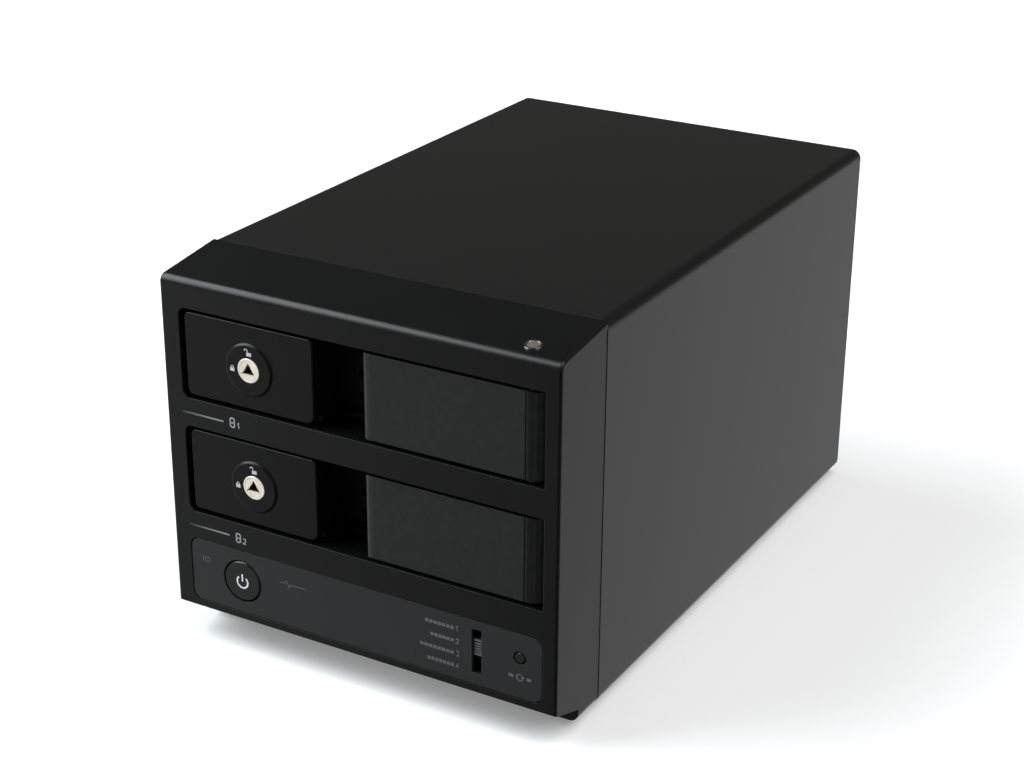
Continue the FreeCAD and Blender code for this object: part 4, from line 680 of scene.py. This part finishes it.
def print_bay_mark(bay, material):
    """Drive symbol and bay number beside the bay's light bar."""
    low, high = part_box("light_bars")
    at = Vector((0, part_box("front_bezel")[0].y, high.z if bay == 1 else low.z))
    front_print(f"drive_symbol_{bay}", drive_symbol(DRIVE_SYMBOL), at, material)
    front_print(f"drive_number_{bay}", numeral(bay, BAY_NUMBER, 1.6), at, material)


def print_power_symbol(material):
    """Open ring with a bar on the cap of the power button."""
    button = centre_of("power_button")
    symbol = stroke(arc((0, -0.25), 1.9, 130, 410, 28), 0.55) + bar((-0.27, 0.27), (-0.1, 2.35))
    at = Vector((button.x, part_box("power_button")[0].y, button.z))
    front_print("power_symbol", symbol, at, material, "power_cap")


def print_selector_rows(strip, material):
    """A number and a broken rule for each place of the selector."""
    at = Vector((centre_of("mode_selector").x, strip, centre_of("mode_knob").z + ROW_TOP * MM))
    for step, (count, long) in enumerate(SELECTOR_ROWS):
        level = -step * ROW_STEP
        row = numeral(step + 1, (ROW_NUMBER, level), 1.5) + dashes(ROW_END, level, count, long)
        front_print(f"selector_mark_{step + 1}", row, at, material)


def print_mode_symbol(strip, material):
    """Round arrow between two short rules, under the mode button."""
    button = centre_of("mode_button")
    level = CYCLE_LEVEL
    symbol = stroke(arc((0, level), 0.95, 60, 360, 20), 0.4)
    symbol += [((0.4, level), (1.6, level), (1.0, level + 0.9))]
    for ends in ((-3.6, -2.0), (2.2, 3.6)):
        symbol += bar(ends, (level - 0.4, level + 0.5))
    front_print("cycle_symbol", symbol, Vector((button.x, strip, button.z)), material)


def print_power_marks(strip, material):
    """Bar and ring at the left of the power button, and a pulse at its right."""
    button = centre_of("power_button")
    at = Vector((button.x, strip, button.z))
    sign = bar((ON_BAR - 0.2, ON_BAR + 0.2), (ON_LEVEL - 0.9, ON_LEVEL + 0.9))
    sign += stroke(arc((ON_RING, ON_LEVEL), 0.75, 0, 360, 16), FINE_LINE)
    front_print("on_symbol", sign, at, material)
    front_print("activity_symbol", stroke(PULSE, FINE_LINE), at, material)


def print_rear(material):
    """Plain symbols over the sockets and beside the security slot."""
    usb, esata, inlet = (centre_of(node) for node in ("usb_port", "esata_port", "power_inlet"))
    level = usb.z + SIGN_LIFT * MM
    square = stroke(rounded_outline((-1.5, 1.5), (-1.5, 1.5), 0.5), 0.4, closed=True)
    square += bar((-0.6, 0.6), (-0.2, 0.2))
    rear_print("data_symbol", square, usb.x, level, material)
    flat = stroke(rounded_outline((-2.2, 2.2), (-1.0, 1.0), 0.4), 0.4, closed=True)
    flat += bar((-1.2, 1.2), (-0.2, 0.2))
    rear_print("expansion_symbol", flat, esata.x, level, material)
    polarity = stroke(arc((0, 0), 1.1, 40, 320, 20), 0.36) + stroke(arc((0, 0), 0.25, 0, 360, 10), 0.3)
    for ends in ((1.7, 3.2), (-3.2, -1.7)):
        polarity += bar(ends, (-0.18, 0.18))
    rear_print("polarity_symbol", polarity, inlet.x, level, material)
    rear_print("lock_symbol", padlock((0, 0), 2.0, False), SLOT_SIGN[0] * MM, SLOT_SIGN[1] * MM, material)


def make_prints(materials):
    for bay in BAYS:
        print_door(bay, materials["pale_ink"])
        print_bay_mark(bay, materials["soft_ink"])
    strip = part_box("control_panel")[0].y
    print_power_symbol(materials["white_ink"])
    print_selector_rows(strip, materials["grey_ink"])
    print_mode_symbol(strip, materials["grey_ink"])
    print_power_marks(strip, materials["dim_ink"])
    print_rear(materials["soft_ink"])


# ---- contacts and board parts ----------------------------------------------------------------

# Middles of the contacts from the object's middle on the drives and from the socket's own in the rear
# sockets, and their widths, in millimetres
DRIVE_CONTACTS = [-32.95 + 1.6 * i for i in range(22)]
DRIVE_CONTACT_WIDTH = 0.9
DATA_CONTACTS, DATA_CONTACT_WIDTH = (-1.4, 1.4), 1.2
EXPANSION_CONTACTS, EXPANSION_CONTACT_WIDTH = (-3.8, -2.5, -1.3, 0, 1.3, 2.5, 3.8), 0.7
# Where the contacts in the rear sockets begin and end, and their heights over the foot of the data socket
CONTACT_REACH = (94.0 * MM, 100.4 * MM)
DATA_CONTACT_HEIGHT, EXPANSION_CONTACT_HEIGHT = 5.8 * MM, 3.6 * MM

# Places on the main board, in millimetres from the body's middle and front.
# Chips: left side, front, width and depth
CHIPS = ((-40, 60, 12, 9.6), (-18, 64, 8, 6.4), (24, 58, 14, 11.2), (-44, 120, 9, 7.2), (12, 128, 11, 8.8))
CAPACITORS = ((44, 150), (44, 160), (36, 160), (44, 140), (-46, 150), (-46, 160))
STANDOFFS = [(x, y) for x in (-48, 50) for y in (44, 112)]
SINK_SPAN, SINK_DEPTH = (-15, 14), (82, 113)
# Room kept free at the left, right, front and back of a chip, and on each side of a standoff
CHIP_ROOM = (2.5, 1, 3, 2)
STANDOFF_ROOM = 5
# Ceramic parts: rows and columns, the first place, the step to the next and the unit of the shifts that
# make the rows uneven; then the size of one part and of its tinned ends
CERAMIC_ROWS, CERAMIC_COLUMNS = 6, 9
CERAMIC_X, CERAMIC_STEP_X, CERAMIC_SHIFT_X = -48, 11.6, 1.7
CERAMIC_Y, CERAMIC_STEP_Y, CERAMIC_SHIFT_Y = 34, 9.4, 1.3
CERAMIC_LENGTH, CERAMIC_WIDTH, CERAMIC_END = 1.6, 0.8, 0.35
LEAD_PITCH, LEAD_HALF = 1.1, 0.18
CHIP_TOP = 1.4
DOT_PROFILE = ((0, 0.45), (0.03, 0.45), (0.04, 0.4))
SLEEVE_PROFILE = ((0.3, 3.16), (0.5, 3.22), (7.2, 3.22), (7.4, 3.12))


def contact_limits(middles, width, reach, level, thick):
    """Flat contacts side by side, their middles and width in millimetres."""
    half = width / 2
    return [(((x - half) * MM, reach[0], level), ((x + half) * MM, reach[1], level + thick)) for x in middles]


def make_contacts(gold):
    """Gold contacts on the drive plugs and in the rear sockets."""
    for bay in BAYS:
        _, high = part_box(f"drive_board_{bay}")
        reach = (high.y - 5.2 * MM, high.y - 0.5 * MM)
        limits = contact_limits(DRIVE_CONTACTS, DRIVE_CONTACT_WIDTH, reach, high.z, 0.05 * MM)
        boxes(f"drive_contacts_{bay}", limits, gold, f"ejector_{bay}")
    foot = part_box("usb_port")[0].z
    middles = [centre_of("usb_port").x / MM + x for x in DATA_CONTACTS]
    limits = contact_limits(middles, DATA_CONTACT_WIDTH, CONTACT_REACH, foot + DATA_CONTACT_HEIGHT, 0.07 * MM)
    boxes("data_contacts", limits, gold, "housing")
    middles = [centre_of("esata_port").x / MM + x for x in EXPANSION_CONTACTS]
    limits = contact_limits(middles, EXPANSION_CONTACT_WIDTH, CONTACT_REACH,
                            foot + EXPANSION_CONTACT_HEIGHT, 0.06 * MM)
    boxes("expansion_contacts", limits, gold, "housing")


def on_board(x, y, above=0.0):
    """A place on the main board from millimetres to the right of its middle and behind the front."""
    return Vector((x * MM, y * MM + FRONT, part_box("main_board")[1].z + above * MM))


def make_chip_leads(materials):
    """Leads along the front and the back of each chip, and a dot at its first lead."""
    leads = []
    for x, y, width, depth in CHIPS:
        count = int(width / LEAD_PITCH)
        for i in range(count):
            u = x + (i + 0.5) * width / count
            for near, far in ((y - 0.9, y + 0.05), (y + depth - 0.05, y + depth + 0.9)):
                leads.append((on_board(u - LEAD_HALF, near), on_board(u + LEAD_HALF, far, above=0.5)))
    boxes("chip_leads", leads, materials["tin"], "housing", bevel=0.05 * MM)
    dots = [on_board(x + 1.2, y + 1.2, above=CHIP_TOP) for x, y, _, _ in CHIPS]
    lathes("chip_dots", dots, DOT_PROFILE, materials["soft_ink"], "housing", 16)


def is_free(x, y):
    """Whether a small part fits here, clear of the chips, the heat sink and the standoffs."""
    at_left, at_right, at_front, at_back = CHIP_ROOM
    on_chip = any(left - at_left < x < left + width + at_right
                  and front - at_front < y < front + depth + at_back
                  for left, front, width, depth in CHIPS)
    under_sink = SINK_SPAN[0] < x < SINK_SPAN[1] and SINK_DEPTH[0] < y < SINK_DEPTH[1]
    at_standoff = any(abs(x - u) < STANDOFF_ROOM and abs(y - v) < STANDOFF_ROOM for u, v in STANDOFFS)
    return not (on_chip or under_sink or at_standoff)


def ceramic_places():
    """Places in uneven rows wherever there is room."""
    for row in range(CERAMIC_ROWS):
        for column in range(CERAMIC_COLUMNS):
            x = CERAMIC_X + column * CERAMIC_STEP_X + CERAMIC_SHIFT_X * ((row * 5 + column * 3) % 4)
            y = CERAMIC_Y + row * CERAMIC_STEP_Y + CERAMIC_SHIFT_Y * ((row + column * 2) % 3)
            if is_free(x, y):
                yield x, y


def make_ceramic_parts(materials):
    """Small ceramic parts between tinned ends that are a little thicker."""
    bodies, ends = [], []
    for x, y in ceramic_places():
        right, back = x + CERAMIC_LENGTH, y + CERAMIC_WIDTH
        bodies.append((on_board(x + 0.3, y, above=0.05), on_board(right - 0.3, back, above=0.75)))
        ends.append((on_board(x, y), on_board(x + CERAMIC_END, back, above=0.8)))
        ends.append((on_board(right - CERAMIC_END, y), on_board(right, back, above=0.8)))
    boxes("ceramic_bodies", bodies, materials["beige"], "housing", bevel=0.05 * MM)
    boxes("ceramic_ends", ends, materials["tin"], "housing", bevel=0.05 * MM)


def make_capacitor_sleeves(sleeve):
    places = [on_board(x, y) for x, y in CAPACITORS]
    lathes("capacitor_sleeves", places, SLEEVE_PROFILE, sleeve, "housing", 32)


# ---- drive parts and labels ------------------------------------------------------------------

# Labels are in millimetres, about their middles; bars of a code get three widths in turn
LABEL_INK_FILM = 0.02 * MM
CODE_LEFT, CODE_STEP, CODE_BARS = -36, 2.3, 16
DRIVE_LABEL_SHIFT = 8.0 * MM
LID_SCREW_SIDE, LID_SCREW_STEP = 46 * MM, 64 * MM
LID_SCREW_PROFILE = ((0, 2.1), (0.5, 2.1), (0.7, 1.8), (0.7, 1.0), (0.3, 0.9))
FAN_LABEL_RADIUS = 9.5
FAN_SEAT_DEPTH = 0.4 * MM
RATING_LABEL_Y = 20 * MM


def label(names, outline, marks, plane, thick, body, materials):
    """A paper label and the print on it."""
    origin, right, up = plane
    above = (origin + right.cross(up) * thick, right, up)
    piece(names[0], film([outline], plane, thick), materials["paper"], body)
    piece(names[1], film(marks, above, LABEL_INK_FILM), materials["label_ink"], body)


def make_drive_parts(materials):
    """Label and screws on each drive's lid."""
    marks = bar((-36, 10), (28, 36)) + text_rules(-36, [22 - 4 * (i % 3) for i in range(7)], 18, 6, 1.4)
    for i in range(CODE_BARS):
        left = CODE_LEFT + CODE_STEP * i
        marks += bar((left, left + 0.8 + 0.5 * (i % 3)), (-38, -30))
    for bay in BAYS:
        middle = centre_of(f"drive_lid_{bay}")
        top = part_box(f"drive_lid_{bay}")[1].z
        plane = (Vector((middle.x, middle.y - DRIVE_LABEL_SHIFT, top)), RIGHT, BACK)
        label((f"drive_label_{bay}", f"drive_label_print_{bay}"), rounded_outline((-40, 40), (-42, 42), 2.0),
              marks, plane, 0.06 * MM, f"ejector_{bay}", materials)
        screws = [Vector((middle.x + side * LID_SCREW_SIDE, middle.y + step * LID_SCREW_STEP, top - 0.2 * MM))
                  for side in (-1, 1) for step in (-1, 0, 1)]
        lathes(f"drive_screws_{bay}", screws, LID_SCREW_PROFILE, materials["bolt_zinc"], f"ejector_{bay}", 18)


def make_labels(materials):
    """Round label on the fan's motor seat and a blank rating label under the cover."""
    seat = centre_of("fan_frame")
    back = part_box("fan_frame")[1].y - FAN_SEAT_DEPTH
    circle = arc((0, 0), FAN_LABEL_RADIUS, 0, 360 - 7.5, 47)
    label(("fan_label", "fan_label_print"), circle, text_rules(-5.5, (5.5, 5.5, 5.5), 3.2, 3.0, 0.7),
          (Vector((seat.x, back, seat.z)), -RIGHT, UP), 0.05 * MM, "housing", materials)
    rules = text_rules(-23, [8 - 3 * (i % 2) for i in range(5)], 10, 4.4, 1.2)
    rules += stroke(rounded_outline((13, 22), (-3, 10), 1.0), 0.5, closed=True)
    label(("rating_label", "rating_label_print"), rounded_outline((-27, 27), (-16, 16), 1.5), rules,
          (Vector((0, RATING_LABEL_Y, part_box("cover")[0].z)), -RIGHT, BACK), 0.06 * MM, "housing", materials)


# ---- the object ------------------------------------------------------------------------------

materials = make_materials()
paint_frame(materials)
make_prints(materials)
make_contacts(materials["gold"])
make_chip_leads(materials)
make_ceramic_parts(materials)
make_capacitor_sleeves(materials["sleeve"])
make_drive_parts(materials)
make_labels(materials)
make_studio()
